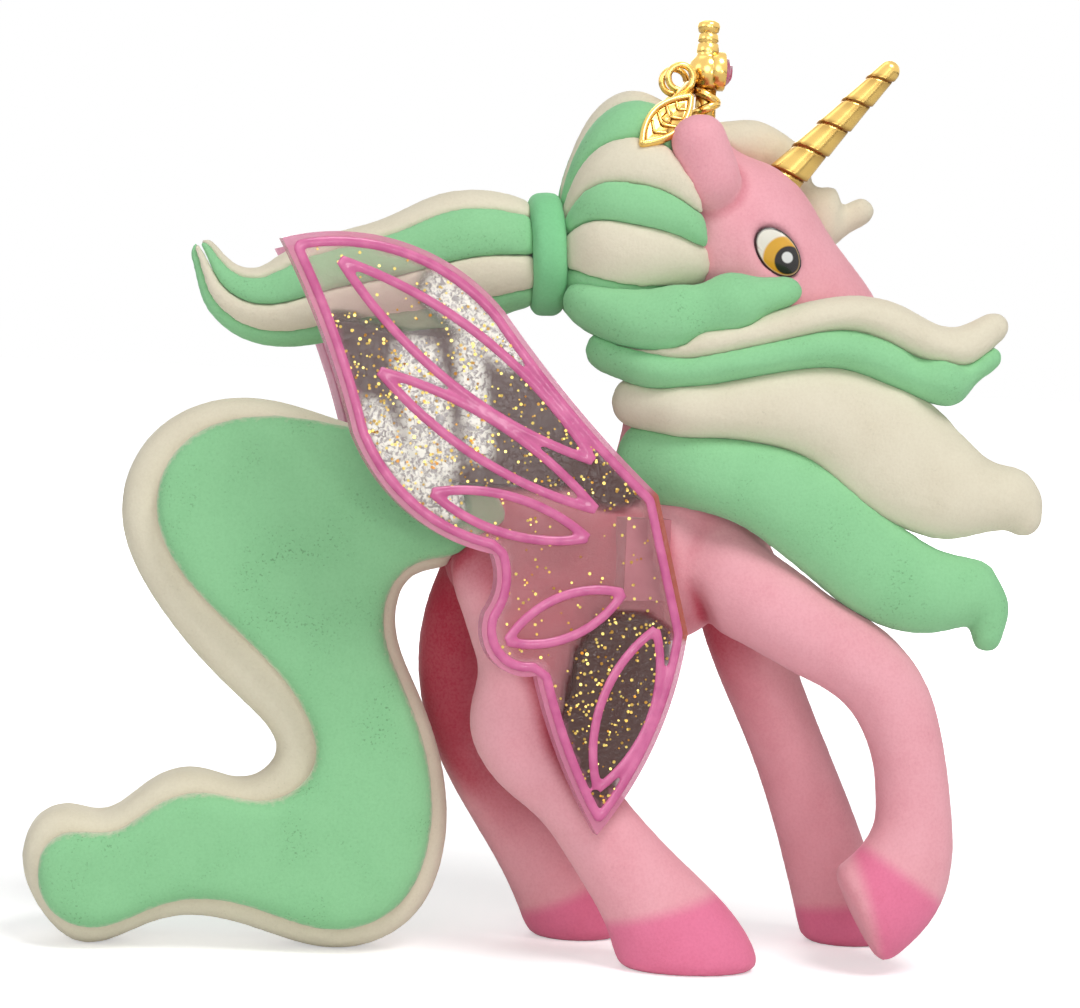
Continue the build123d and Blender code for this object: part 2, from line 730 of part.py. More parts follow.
def all_pegs():
    neck = (Vector(*NECK[1][:3]), Vector(NECK[-1][0], 0, NECK_PEG_TOP), NECK_PEG)
    pegs = [("torso", "head", neck)]
    for name, stations in LEGS:
        pegs.append((name, "torso", limb_peg(stations)))
    pegs.append(("tail_core", "torso", (Vector(*TAIL_PEG_ROOT), Vector(*TAIL_PEG_END), LIMB_PEG)))
    for x, z in PAD_PEGS:
        face = -TAIL_CORE / 2
        peg = (Vector(x, face - TAIL_PAD / 2, z), Vector(x, face + PAD_PEG_DEPTH, z), PAD_PEG)
        pegs += [("right_tail_pad", "tail_core", peg), ("left_tail_pad", "tail_core", mirrored(peg))]
    pegs += [("right_wing", "torso", wing_peg()), ("left_wing", "torso", mirrored(wing_peg()))]
    for name, host, start, end in LOCK_PEGS:
        pegs.append((name, host, (Vector(*start), Vector(*end), LOCK_PEG)))
    pegs.append(("horn", "head", horn_peg()))
    crown = Vector(*TIARA_CROWN)
    foot = crown - Vector(0, 0, TIARA_PEG_DEPTH)
    pegs.append(("tiara", "cap_top_white", (crown, foot, FITTING_PEG)))
    return pegs


def hair_strands():
    strands = {}
    cap = ("cap", CAP_STRANDS, cap_rings())
    ponytail = ("ponytail", PONYTAIL_STRANDS, ponytail_rings())
    for place, pairs, rings in (cap, ponytail):
        borders = borders_along(pairs, len(rings))
        first, last = borders[0], borders[-1]
        tone = "white"
        strands[f"{place}_top_white"] = strand(rings, mirrored_angles(first), first)
        for order, (low, high) in enumerate(zip(borders, borders[1:])):
            tone = "mint" if tone == "white" else "white"
            level = STRAND_LEVELS[order // 2]
            left_low, left_high = mirrored_angles(high), mirrored_angles(low)
            strands[f"{place}_right_{level}_{tone}"] = strand(rings, low, high)
            strands[f"{place}_left_{level}_{tone}"] = strand(rings, left_low, left_high)
        around = [360.0 - angle for angle in last]
        strands[f"{place}_bottom_mint"] = strand(rings, last, around)
    return strands


def figurine():
    torso, head_plain = torso_form(), head_form()
    stone, stone_cup = stone_parts()
    eye, eye_hole = eye_forms(tube(HEAD))
    pin = rod(*hair_pin_ends(), HAIR_PIN)
    pin_hole = socket(*hair_pin_ends(), HAIR_PIN)

    nodes = {"torso": torso - [head_plain, pin_hole]}
    nodes["head"] = head_plain - [eye_hole, flip(eye_hole), pin_hole]
    nodes["right_eye"], nodes["left_eye"] = eye, flip(eye)
    for name, stations in LEGS:
        sole = RIGHT_FORE_SOLE if name == "right_foreleg" else FLAT_SOLE
        nodes[name] = leg_form(stations, sole) - torso
    core = tail_core_form()
    nodes["tail_core"] = core - torso
    pad = tail_pad_form() - torso
    nodes["right_tail_pad"] = biggest(pad - nodes["right_hind_leg"])
    nodes["left_tail_pad"] = biggest(flip(pad) - nodes["left_hind_leg"])

    strands = hair_strands()
    for name, shape in strands.items():
        solid_before = [torso, head_plain, pin_hole] if name.startswith("cap") else [pin_hole]
        nodes[name] = cut(shape, solid_before)
    tie = hair_tie_form()
    nodes["hair_tie"] = tie - pin_hole
    nodes["hair_pin"] = pin

    cap = [shape for name, shape in strands.items() if name.startswith("cap")]
    done = [torso, head_plain, *cap]
    for name, _ in LOCKS:
        shape = lock_form(name)
        nodes[name] = biggest(cut(shape, done + [nodes["right_foreleg"], tie]))
        done.append(shape)

    wing = wing_form()
    nodes["right_wing"] = biggest(wing - [torso, nodes["right_foreleg"]])
    nodes["left_wing"] = flip(nodes["right_wing"])
    nodes["horn"] = horn_form() - head_plain
    nodes["tiara"] = biggest(cut(tiara_form(), [head_plain, *cap, stone_cup, lock_form("forelock")]))
    nodes["tiara_stone"] = stone

    for name, host, peg in all_pegs():
        nodes[name] = nodes[name] + rod(*peg)
        nodes[host] = nodes[host] - socket(*peg)
    return {name: biggest(shape) for name, shape in nodes.items()}


os.makedirs("parts", exist_ok=True)
for node, shape in figurine().items():
    export_step(shape, f"parts/{node}.step")
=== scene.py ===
import math
import random

import bmesh
import bpy
import numpy as np
from mathutils import Matrix, Vector, noise
from mathutils.bvhtree import BVHTree


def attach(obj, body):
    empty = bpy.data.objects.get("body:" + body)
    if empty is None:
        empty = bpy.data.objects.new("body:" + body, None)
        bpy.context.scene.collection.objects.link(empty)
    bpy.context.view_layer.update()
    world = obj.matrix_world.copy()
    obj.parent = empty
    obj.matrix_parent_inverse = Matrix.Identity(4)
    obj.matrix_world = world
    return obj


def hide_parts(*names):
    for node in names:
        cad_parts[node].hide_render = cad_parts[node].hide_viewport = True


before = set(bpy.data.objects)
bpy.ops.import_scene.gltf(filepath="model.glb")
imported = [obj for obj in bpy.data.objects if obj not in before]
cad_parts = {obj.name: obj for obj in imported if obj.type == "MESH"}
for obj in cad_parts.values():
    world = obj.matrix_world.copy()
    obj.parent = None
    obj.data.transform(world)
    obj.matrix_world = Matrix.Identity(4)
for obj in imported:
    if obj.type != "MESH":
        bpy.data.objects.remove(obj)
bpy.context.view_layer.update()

# Body: torso with neck and four legs, cast in plastic and glued together at the hips and shoulders.
# The whole casting is covered in short pink flock that hides the joints, and the fronts of the hooves
# are a deeper pink with a soft edge. The pink is darkened with painted shade in hollows and where the
# body is closed in between the legs, the tail and the wings.
MM = 0.001
WELD = 1e-7
FLOCK_PILE = 0.06
FLOCK_NAP = 0.018
FUZZ_SIZE = 0.32
HOLLOW_ROUNDS = 40
HOLLOW_GAIN = 6.0


def srgb(red, green, blue):
    def linear(part):
        part /= 255.0
        return part / 12.92 if part <= 0.04045 else ((part + 0.055) / 1.055) ** 2.4

    return linear(red), linear(green), linear(blue), 1.0


def smooth_step(low, high, value):
    share = min(1.0, max(0.0, (value - low) / (high - low)))
    return share * share * (3.0 - 2.0 * share)


def place_piece(name, data):
    piece = bpy.data.objects.new(name, data)
    bpy.context.scene.collection.objects.link(piece)
    return piece


def shade_smooth(mesh):
    for face in mesh.polygons:
        face.use_smooth = True


def set_layer(mesh, layer, values):
    mesh.attributes.new(layer, "FLOAT", "POINT").data.foreach_set("value", values)


def rows_of(items, key, width, kind=float):
    rows = np.empty(len(items) * width, kind)
    items.foreach_get(key, rows)
    return rows.reshape(-1, width)


def wrap_voxels(piece, voxel):
    wrap = piece.modifiers.new("wrap", "REMESH")
    wrap.mode = "VOXEL"
    wrap.voxel_size = voxel * MM
    wrap.use_smooth_shade = True


def final_mesh(piece):
    shown = piece.evaluated_get(bpy.context.evaluated_depsgraph_get())
    return bpy.data.meshes.new_from_object(shown)


def relaxed(points, edges, rounds):
    near = np.bincount(edges.ravel(), minlength=len(points))
    for _ in range(rounds):
        total = np.empty_like(points)
        for axis in range(3):
            there = np.bincount(edges[:, 0], points[edges[:, 1], axis], len(points))
            back = np.bincount(edges[:, 1], points[edges[:, 0], axis], len(points))
            total[:, axis] = there + back
        points = 0.5 * points + 0.5 * total / near[:, None]
    return points


def outer_skin(mesh):
    skin = bmesh.new()
    skin.from_mesh(mesh)
    left = set(skin.verts)
    shells = []
    while left:
        front = [left.pop()]
        shell = list(front)
        while front:
            reached = []
            for vert in front:
                for edge in vert.link_edges:
                    other = edge.other_vert(vert)
                    if other in left:
                        left.discard(other)
                        reached.append(other)
            shell += reached
            front = reached
        shells.append(shell)
    shells.sort(key=len)
    inner = [vert for shell in shells[:-1] for vert in shell]
    bmesh.ops.delete(skin, geom=inner, context="VERTS")
    skin.to_mesh(mesh)
    skin.free()


def flocked_skin(name, node_names, voxel, rounds, plugs=(), pile=FLOCK_PILE):
    joined = bmesh.new()
    for node in node_names:
        joined.from_mesh(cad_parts[node].data)
    for place, radius in plugs:
        moved = Matrix.Translation(Vector(place) * MM)
        bmesh.ops.create_icosphere(joined, subdivisions=3, radius=radius * MM, matrix=moved)
    bmesh.ops.remove_doubles(joined, verts=joined.verts, dist=WELD)
    casting = bpy.data.meshes.new(name + "_casting")
    joined.to_mesh(casting)
    joined.free()
    piece = place_piece(name, casting)
    wrap_voxels(piece, voxel)
    skin = final_mesh(piece)
    skin.name = name
    piece.modifiers.clear()
    piece.data = skin
    bpy.data.meshes.remove(casting)
    outer_skin(skin)

    edges = rows_of(skin.edges, "vertices", 2, np.int64)
    soft = relaxed(rows_of(skin.vertices, "co", 3), edges, rounds)
    skin.vertices.foreach_set("co", soft.ravel())
    skin.update()
    normals = rows_of(skin.vertex_normals, "vector", 3)
    # Painted shade: hollows, measured by how far the skin lies below a more smoothed copy, are marked
    # for darker pile.
    shade_and_tone = np.sum((relaxed(soft, edges, HOLLOW_ROUNDS) - soft) * normals, axis=1) / MM
    set_layer(skin, "hollow_shade", np.clip(shade_and_tone * HOLLOW_GAIN, 0.0, 1.0))
    fuzz = np.array([noise.noise(Vector(point) / (FUZZ_SIZE * MM)) for point in soft])
    soft += normals * ((pile + FLOCK_NAP * fuzz) * MM)[:, None]
    skin.vertices.foreach_set("co", soft.ravel())
    skin.update()
    shade_smooth(skin)
    return piece


def wire(tree, node, inputs):
    for socket, value in inputs.items():
        if isinstance(value, bpy.types.NodeSocket):
            tree.links.new(value, node.inputs[socket])
        else:
            node.inputs[socket].default_value = value


def add_node(tree, kind, output, inputs, **options):
    made = tree.nodes.new("ShaderNode" + kind)
    for option, value in options.items():
        setattr(made, option, value)
    wire(tree, made, inputs)
    return made.outputs[output]


def reckon(tree, operation, *terms, clamp=False):
    inputs = dict(enumerate(terms))
    return add_node(tree, "Math", "Value", inputs, operation=operation, use_clamp=clamp)


def remap(tree, value, low, high, least=0.0, most=1.0):
    inputs = {"Value": value, "From Min": low, "From Max": high, "To Min": least, "To Max": most}
    return add_node(tree, "MapRange", "Result", inputs)


def mix_colours(tree, share, first, second, blend="MIX"):
    inputs = {"Factor": share, "A": first, "B": second}
    return add_node(tree, "Mix", "Result", inputs, data_type="RGBA", blend_type=blend)


def grain_noise(tree, scale, detail, distortion=0.0):
    place = add_node(tree, "TexCoord", "Object", {})
    inputs = {"Vector": place, "Scale": scale, "Detail": detail, "Distortion": distortion}
    return add_node(tree, "TexNoise", "Fac", inputs)


def painted(tree, layer):
    return add_node(tree, "Attribute", "Fac", {}, attribute_name=layer)


def new_material(name, settings):
    made = bpy.data.materials.new(name)
    made.use_nodes = True
    shader = made.node_tree.nodes["Principled BSDF"]
    wire(made.node_tree, shader, settings)
    return made, made.node_tree, shader


def flock_group():
    group = bpy.data.node_groups.new("flock", "ShaderNodeTree")
    for socket, way, kind in (
        ("Pile", "INPUT", "NodeSocketColor"),
        ("Shade", "INPUT", "NodeSocketColor"),
        ("Lint", "INPUT", "NodeSocketFloat"),
        ("Color", "OUTPUT", "NodeSocketColor"),
        ("Height", "OUTPUT", "NodeSocketFloat"),
    ):
        group.interface.new_socket(socket, in_out=way, socket_type=kind)
    given = group.nodes.new("NodeGroupInput").outputs
    out = group.nodes.new("NodeGroupOutput")
    fibre = grain_noise(group, 6500.0, 2.0)
    brushed = grain_noise(group, 330.0, 3.0)
    specks = grain_noise(group, 7000.0, 1.0)

    grain = remap(group, fibre, 0.38, 0.70, most=0.10)
    patches = remap(group, brushed, 0.40, 0.72, most=0.12)
    uneven = reckon(group, "ADD", grain, patches)
    # Painted shade: in hollows the pile runs towards its shade colour, added to random grain and
    # patches.
    hollow_shade = painted(group, "hollow_shade")
    shade_and_grain = reckon(group, "MULTIPLY_ADD", hollow_shade, 0.85, uneven, clamp=True)
    tint = mix_colours(group, shade_and_grain, given["Pile"], given["Shade"])

    fluff = remap(group, specks, 0.62, 0.74)
    rubbed = remap(group, brushed, 0.50, 0.66, least=0.15)
    sparse = reckon(group, "MULTIPLY", fluff, rubbed)
    lint = reckon(group, "MULTIPLY", sparse, given["Lint"])
    dotted = mix_colours(group, lint, tint, srgb(150, 150, 140), "MULTIPLY")
    wire(group, out, {"Color": dotted, "Height": fibre})
    return group


FLOCK = flock_group()


def flock_material(name, pile, shade, lint, sheen):
    velvet = {
        "Roughness": 0.92,
        "Specular IOR Level": 0.12,
        "Sheen Weight": 0.30,
        "Sheen Roughness": 0.45,
        "Sheen Tint": sheen,
    }
    made, tree, shader = new_material(name, velvet)
    flock = tree.nodes.new("ShaderNodeGroup")
    flock.name = "flock"
    flock.node_tree = FLOCK
    wire(tree, flock, {"Pile": pile, "Shade": shade, "Lint": lint})
    relief = {"Strength": 0.22, "Distance": 0.10 * MM, "Height": flock.outputs["Height"]}
    bump = add_node(tree, "Bump", "Normal", relief)
    wire(tree, shader, {"Base Color": flock.outputs["Color"], "Normal": bump})
    return made


def blend_pile(material, share, outer, inner):
    tree = material.node_tree
    wire(tree, tree.nodes["flock"], {"Pile": mix_colours(tree, share, outer, inner)})


def settle(piece, material, slot, *replaced):
    piece.data.materials.clear()
    piece.data.materials.append(material)
    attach(piece, "root")
    if replaced:
        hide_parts(*replaced)
    return piece


PINK = srgb(242, 176, 186)
PINK_SHADE = srgb(194, 68, 88)
PINK_SHEEN = srgb(255, 225, 232)
PINK_LINT = 0.08
HOOF_PINK = srgb(238, 132, 166)
HOOF_FADE = (-0.45, 0.55)
# Each hoof's coloured front: its box in x and y, then planes (point x, z and inward direction) in mm.
HOOVES = [
    ((3.0, 14.0), (-9.0, -1.0), [((6.0, 3.2), (0.28, -0.96))]),
    ((16.0, 27.0), (-9.0, -1.0), [((21.1, 6.0), (-0.56, -0.83)), ((19.1, 4.0), (0.96, 0.27))]),
    ((-2.0, 9.0), (1.0, 9.0), [((2.8, 2.6), (0.39, -0.92))]),
    ((15.0, 24.0), (1.0, 9.0), [((18.5, 2.4), (0.14, -0.99))]),
]


def hoof_share(point):
    x, y, z = (part / MM for part in point)
    share = 0.0
    for (x0, x1), (y0, y1), planes in HOOVES:
        if x0 < x < x1 and y0 < y < y1:
            depth = min((x - px) * dx + (z - pz) * dz for (px, pz), (dx, dz) in planes)
            share = max(share, smooth_step(*HOOF_FADE, depth))
    return share


GOLDEN_TURN = 2.39996


def spread_rays(count):
    rays = []
    for k in range(count):
        rise = 1.0 - (k + 0.5) / count
        wide = math.sqrt(1.0 - rise * rise)
        turn = k * GOLDEN_TURN
        rays.append(Vector((wide * math.cos(turn), wide * math.sin(turn), rise)))
    return rays


SHADE_RAYS = spread_rays(20)
SHADE_START = 0.3
SHADE_REACH = 18.0
SHADE_ROUNDS = 40
SHADE_RANGE = (0.38, 0.70)
SHADING_NODES = ["tail_core", "right_tail_pad", "left_tail_pad", "right_wing", "left_wing"]


def covered_share(tree, vert, start, reach):
    facing = vert.normal.to_track_quat("Z", "Y")
    begin = vert.co + vert.normal * (start * MM)
    met = [tree.ray_cast(begin, facing @ way, reach * MM)[0] for way in SHADE_RAYS]
    return sum(spot is not None for spot in met) / len(SHADE_RAYS)


# Painted shade: the pink is deepened where rays from the skin soon meet the body, the tail or the
# wings, as between the legs.
def deepen_shade(mesh):
    corners, sides = [], []
    for shape in [mesh] + [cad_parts[node].data for node in SHADING_NODES]:
        first = len(corners)
        corners += [vert.co.copy() for vert in shape.vertices]
        sides += [[first + corner for corner in face.vertices] for face in shape.polygons]
    tree = BVHTree.FromPolygons(corners, sides)
    covered = np.zeros((len(mesh.vertices), 3))
    covered[:, 0] = [covered_share(tree, vert, SHADE_START, SHADE_REACH) for vert in mesh.vertices]
    edges = rows_of(mesh.edges, "vertices", 2, np.int64)
    shares = relaxed(covered, edges, SHADE_ROUNDS)[:, 0]
    for depth, share in zip(mesh.attributes["hollow_shade"].data, shares):
        depth.value = min(1.0, depth.value + smooth_step(*SHADE_RANGE, share))


BODY_NODES = ["torso", "right_foreleg", "left_foreleg", "right_hind_leg", "left_hind_leg"]
BODY_VOXEL = 0.22
BODY_ROUNDS = 26
WING_SOCKETS = [((5.2, -2.85, 23.4), 1.9), ((5.2, 2.85, 23.4), 1.9)]
BODY_FLOCK = flock_material("pink_flock", PINK, PINK_SHADE, PINK_LINT, PINK_SHEEN)
blend_pile(BODY_FLOCK, painted(BODY_FLOCK.node_tree, "hoof"), PINK, HOOF_PINK)
body = flocked_skin("body", BODY_NODES, BODY_VOXEL, BODY_ROUNDS, WING_SOCKETS)
deepen_shade(body.data)
set_layer(body.data, "hoof", [hoof_share(vert.co) for vert in body.data.vertices])
settle(body, BODY_FLOCK, "pink_flock", *BODY_NODES)

# Head with both ears: one more flocked casting, pushed over the peg at the top of the neck.
# The ears are short round knobs; where they meet the skull the pink is darkened with painted shade.
HEAD_VOXEL = 0.18
HEAD_ROUNDS = 22
HEAD_FLOCK = flock_material("pink_flock_head", PINK, PINK_SHADE, PINK_LINT, PINK_SHEEN)
head = flocked_skin("head_casting", ["head"], HEAD_VOXEL, HEAD_ROUNDS)
settle(head, HEAD_FLOCK, "pink_flock", "head")

# Eyes: oval plastic inserts let into the head, each with a printed white, amber iris, dark pupil,
# pale glint and a dark outline, under a clear gloss.
EYE_MIDDLE = (12.5, 41.0)
EYE_TURN = math.radians(45.0)
EYE_RIM_ANGLE = 0.7
EYE_ROUNDING = 0.12
EYE_OUTLINE = srgb(38, 24, 22)
# Each printed oval: its middle, its half width and height, the softness of its edge and its colour.
EYE_OVALS = [
    ((0.0, 0.0), (1.52, 0.93), 0.04, srgb(244, 238, 226)),
    ((0.42, 0.05), (1.18, 1.16), 0.05, srgb(232, 172, 40)),
    ((0.74, 0.14), (0.80, 0.80), 0.05, srgb(26, 18, 18)),
    ((0.57, 0.19), (0.33, 0.30), 0.12, srgb(236, 234, 234)),
]


def oval_mask(tree, local, middle, half, edge):
    shift = {0: local, 1: (middle[0], 0.0, middle[1])}
    shifted = add_node(tree, "VectorMath", "Vector", shift, operation="SUBTRACT")
    scale = {0: shifted, 1: (1.0 / half[0], 0.0, 1.0 / half[1])}
    scaled = add_node(tree, "VectorMath", "Vector", scale, operation="MULTIPLY")
    reach = add_node(tree, "VectorMath", "Value", {0: scaled}, operation="LENGTH")
    return remap(tree, reach, 1.0 + edge, 1.0 - edge)


def eye_material():
    gloss = {"Roughness": 0.22, "Coat Weight": 0.6, "Coat Roughness": 0.08}
    made, tree, shader = new_material("eye_print", gloss)
    print_frame = {
        "Vector": add_node(tree, "TexCoord", "Object", {}),
        "Location": (EYE_MIDDLE[0] * MM, 0.0, EYE_MIDDLE[1] * MM),
        "Rotation": (0.0, EYE_TURN, 0.0),
        "Scale": (MM, MM, MM),
    }
    local = add_node(tree, "Mapping", "Vector", print_frame, vector_type="TEXTURE")
    white = oval_mask(tree, local, *EYE_OVALS[0][:3])
    colour = mix_colours(tree, white, EYE_OUTLINE, EYE_OVALS[0][3])
    for middle, half, edge, tone in EYE_OVALS[1:]:
        mask = reckon(tree, "MULTIPLY", oval_mask(tree, local, middle, half, edge), white)
        colour = mix_colours(tree, mask, colour, tone)
    wire(tree, shader, {"Base Color": colour})
    return made


def eye_insert(name, node):
    mesh = bpy.data.meshes.new(name)
    insert = bmesh.new()
    insert.from_mesh(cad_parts[node].data)
    bmesh.ops.remove_doubles(insert, verts=insert.verts, dist=WELD)
    inner = [edge for edge in insert.edges if len(edge.link_faces) == 2]
    rim = [edge for edge in inner if edge.calc_face_angle() > EYE_RIM_ANGLE]
    width = EYE_ROUNDING * MM
    bmesh.ops.bevel(insert, geom=rim, offset=width, segments=3, profile=0.5, affect="EDGES")
    insert.to_mesh(mesh)
    insert.free()
    shade_smooth(mesh)
    return place_piece(name, mesh)


EYE_PRINT = eye_material()
for node in ("right_eye", "left_eye"):
    settle(eye_insert(node + "_insert", node), EYE_PRINT, "eye_print", node)

# Hair cap, tie and ponytail: separate moulded strands in mint and off-white flock, laid side by side
# round a hidden pin and gathered by the narrow mint tie.
MINT = srgb(150, 210, 157)
MINT_SHADE = srgb(96, 164, 106)
MINT_SHEEN = srgb(214, 255, 232)
# Painted shade: the tie's mint is a little darker than the strands', for the shade it sits in.
TIE_SHADED_MINT = srgb(134, 206, 150)
CREAM = srgb(229, 221, 199)
CREAM_SHADE = srgb(192, 176, 146)
CREAM_SHEEN = srgb(255, 252, 244)
MINT_FLOCK = flock_material("mint_flock", MINT, MINT_SHADE, 0.40, MINT_SHEEN)
CREAM_FLOCK = flock_material("cream_flock", CREAM, CREAM_SHADE, 0.12, CREAM_SHEEN)
TIE_FLOCK = flock_material("tie_flock", TIE_SHADED_MINT, MINT_SHADE, 0.1, MINT_SHEEN)
STRAND_VOXEL = 0.16
STRAND_ROUNDS = 12


def hair(node, tone, voxel=STRAND_VOXEL, rounds=STRAND_ROUNDS, pile=FLOCK_PILE):
    piece = flocked_skin(node + "_flocked", [node], voxel, rounds, pile=pile)
    if tone == "mint":
        return settle(piece, MINT_FLOCK, "mint_flock", node)
    return settle(piece, CREAM_FLOCK, "white_flock", node)


for node in sorted(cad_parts):
    if node.startswith(("cap_", "ponytail_")):
        hair(node, "mint" if node.endswith("mint") else "white")
tie = hair("hair_tie", "mint")
tie.data.materials[0] = TIE_FLOCK

# Hair pin: a plain plastic rod inside the cap, tie and ponytail that holds them on the head.
# It is covered on all sides, so only a fine mould grain is given to it.
PIN_TONES = ((0.0, srgb(206, 202, 194)), (1.0, srgb(222, 219, 212)))


def two_tones(tree, share, stops):
    made = tree.nodes.new("ShaderNodeValToRGB")
    for element, (position, colour) in zip(made.color_ramp.elements, stops):
        element.position = position
        element.color = colour
    wire(tree, made, {"Fac": share})
    return made.outputs["Color"]


pin_plastic, pin_tree, pin_shader = new_material("bare_plastic", {"Roughness": 0.5})
pin_grain = add_node(pin_tree, "TexNoise", "Fac", {"Scale": 900.0})
wire(pin_tree, pin_shader, {"Base Color": two_tones(pin_tree, pin_grain, PIN_TONES)})
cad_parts["hair_pin"].data.materials.clear()
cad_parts["hair_pin"].data.materials.append(pin_plastic)

# Mane locks: five long flocked locks on the right side, swept forwards and pegged to the head and neck,
# and the off-white forelock that lies over the brow on the left side.
LOCK_VOXEL = 0.18
LOCK_ROUNDS = 16
CHEEK_ROUNDS = 90
CHEEK_PILE = 0.24
CHEEK_DIP = (7.6, 38.5)
CHEEK_LIFT = 0.55
CHEEK_SPREAD = 2.4
CHEEK_FADE = 2.2
cheek_lock = hair("cheek_lock", "mint", LOCK_VOXEL, CHEEK_ROUNDS, CHEEK_PILE)
for vert in cheek_lock.data.vertices:
    x, _, z = vert.co / MM
    lifted = CHEEK_LIFT * math.exp(-(((x - CHEEK_DIP[0]) / CHEEK_SPREAD) ** 2))
    vert.co.z += lifted * smooth_step(CHEEK_DIP[1] - CHEEK_FADE, CHEEK_DIP[1], z) * MM
for node, tone in (
    ("upper_lock_white", "white"),
    ("upper_lock_mint", "mint"),
    ("middle_lock", "white"),
    ("lower_lock", "mint"),
    ("forelock", "white"),
):
    hair(node, tone, LOCK_VOXEL, LOCK_ROUNDS)

# Tail: a thick off-white casting in an S, with a mint flocked pad on each face.
# Off-white and mint fibres mix where the pads run out towards the rim.
TAIL_VOXEL = 0.24
TAIL_ROUNDS = 16
PAD_VOXEL = 0.22
PAD_ROUNDS = 22
TAIL_RIM = 2.55
TAIL_FACE = 3.70


def tail_pad_material():
    made = flock_material("tail_pad_flock", MINT, MINT_SHADE, 0.5, MINT_SHEEN)
    tree = made.node_tree
    strays = grain_noise(tree, 3000.0, 2.0)
    mingled = reckon(tree, "MULTIPLY_ADD", strays, 0.9, painted(tree, "inner"))
    blend_pile(made, remap(tree, mingled, 0.50, 1.20), CREAM, MINT)
    return made


tail_core = flocked_skin("tail_core_flocked", ["tail_core"], TAIL_VOXEL, TAIL_ROUNDS)
settle(tail_core, CREAM_FLOCK, "white_flock", "tail_core")
TAIL_PAD_FLOCK = tail_pad_material()
for node in ("right_tail_pad", "left_tail_pad"):
    pad = flocked_skin(node + "_flocked", [node], PAD_VOXEL, PAD_ROUNDS)
    sides = [abs(vert.co.y) / MM for vert in pad.data.vertices]
    set_layer(pad.data, "inner", [smooth_step(TAIL_RIM, TAIL_FACE, side) for side in sides])
    settle(pad, TAIL_PAD_FLOCK, "mint_flock", node)

# Wings: clear plastic plates glued to the flanks, with gold glitter in them and a crinkled silvery film
# behind some of the cells, whose pale colour is partly painted reflection. The dark cells along the
# edges and under the film are painted shade, and the brownish seam at the root is partly painted shade.
# Their outline and leaf-shaped veins are raised lines painted pink.
WING_ROOT = Vector((7.5, -5.7, 0.0))
WING_FLARE = math.radians(10.0)
WING_PLATE = 0.9
WING_ROUNDING = 0.22
WING_FOOT_AT = Vector((-2.0, 23.4, -0.9))
WING_FOOT = (2.6, 4.6, 2.0)
WING_FOOT_FACES = 6
WING_REACH = ((-24.0, 2.0), (7.5, 41.0))
WING_GRID = 0.4
ARC_STEP = 0.35
ROOT_STEPS = 20
WING_ARCS = [
    ((-1.8, 27.1), (-6.7, 31.8), (-11.1, 36.9)),
    ((-11.1, 36.9), (-16.2, 40.2), (-23.6, 40.3)),
    ((-23.6, 40.3), (-21.2, 35.4), (-19.3, 30.0)),
    ((-19.3, 30.0), (-16.2, 25.9), (-11.2, 23.6)),
    ((-11.2, 23.6), (-10.9, 22.0), (-11.5, 20.4)),
    ((-11.5, 20.4), (-11.1, 17.9), (-8.4, 16.9)),
    ((-8.4, 16.9), (-6.9, 12.6), (-4.5, 8.0)),
    ((-4.5, 8.0), (-1.5, 12.8), (0.3, 19.4)),
]
# Each vein: its two ends and how far it bulges for its length.
WING_LEAVES = [
    ((-5.7, 28.9), (-20.4, 39.3), 0.085),
    ((-5.4, 26.2), (-18.0, 33.4), 0.075),
    ((-5.8, 24.6), (-14.8, 26.9), 0.11),
    ((-3.6, 21.6), (-10.2, 18.8), 0.16),
    ((-1.6, 19.6), (-4.6, 10.6), 0.16),
]
LINE_HALF = 0.28
LINE_RISE = 0.5
LINE_INSET = 0.54
LINE_VOXEL = 0.1
BORDER = (0.55, 0.9)
# Each cell: its middle line, the width to each side of it and the width over which it fades.
# The first cells are painted shade, dark as if a dark room showed through the clear plastic.
PAINTED_DARK_CELLS = [
    ([(-20.2, 33.4), (-14.5, 32.0)], 2.5, 0.9),
    ([(-14.5, 32.0), (-9.0, 32.2)], 3.3, 0.8),
    ([(-9.0, 31.6), (-4.4, 28.4)], 1.7, 0.8),
    ([(-13.4, 28.6), (-7.6, 28.6)], 1.0, 0.7),
    ([(-3.0, 17.2), (-3.4, 14.6), (-4.2, 11.5)], 2.9, 0.6),
]
# Cells of the crinkled film, whose pale colour is partly the film's own and partly painted reflection
# of a lamp's glare.
SILVER_AND_GLARE_CELLS = [
    ([(-16.0, 34.1), (-14.7, 28.7)], 0.9, 0.8),
    ([(-14.5, 37.9), (-10.7, 35.1)], 0.8, 1.0),
    ([(-18.4, 30.7), (-16.6, 28.1), (-14.0, 26.2)], 0.7, 0.9),
    ([(-13.1, 35.0), (-12.2, 29.3)], 0.4, 0.7),
]
# The brownish seam where the wing root meets the body: partly glue, partly painted shade.
SEAM_AND_SHADE_CELL = ([(-1.7, 26.8), (0.2, 19.6)], 0.45, 0.6)


def wing_place(u, v, w, side):
    ahead = Vector((math.cos(WING_FLARE), math.sin(WING_FLARE), 0.0))
    outward = Vector((math.sin(WING_FLARE), -math.cos(WING_FLARE), 0.0))
    point = WING_ROOT + ahead * u + outward * w + Vector((0.0, 0.0, v))
    return Vector((point.x, point.y * side, point.z)) * MM


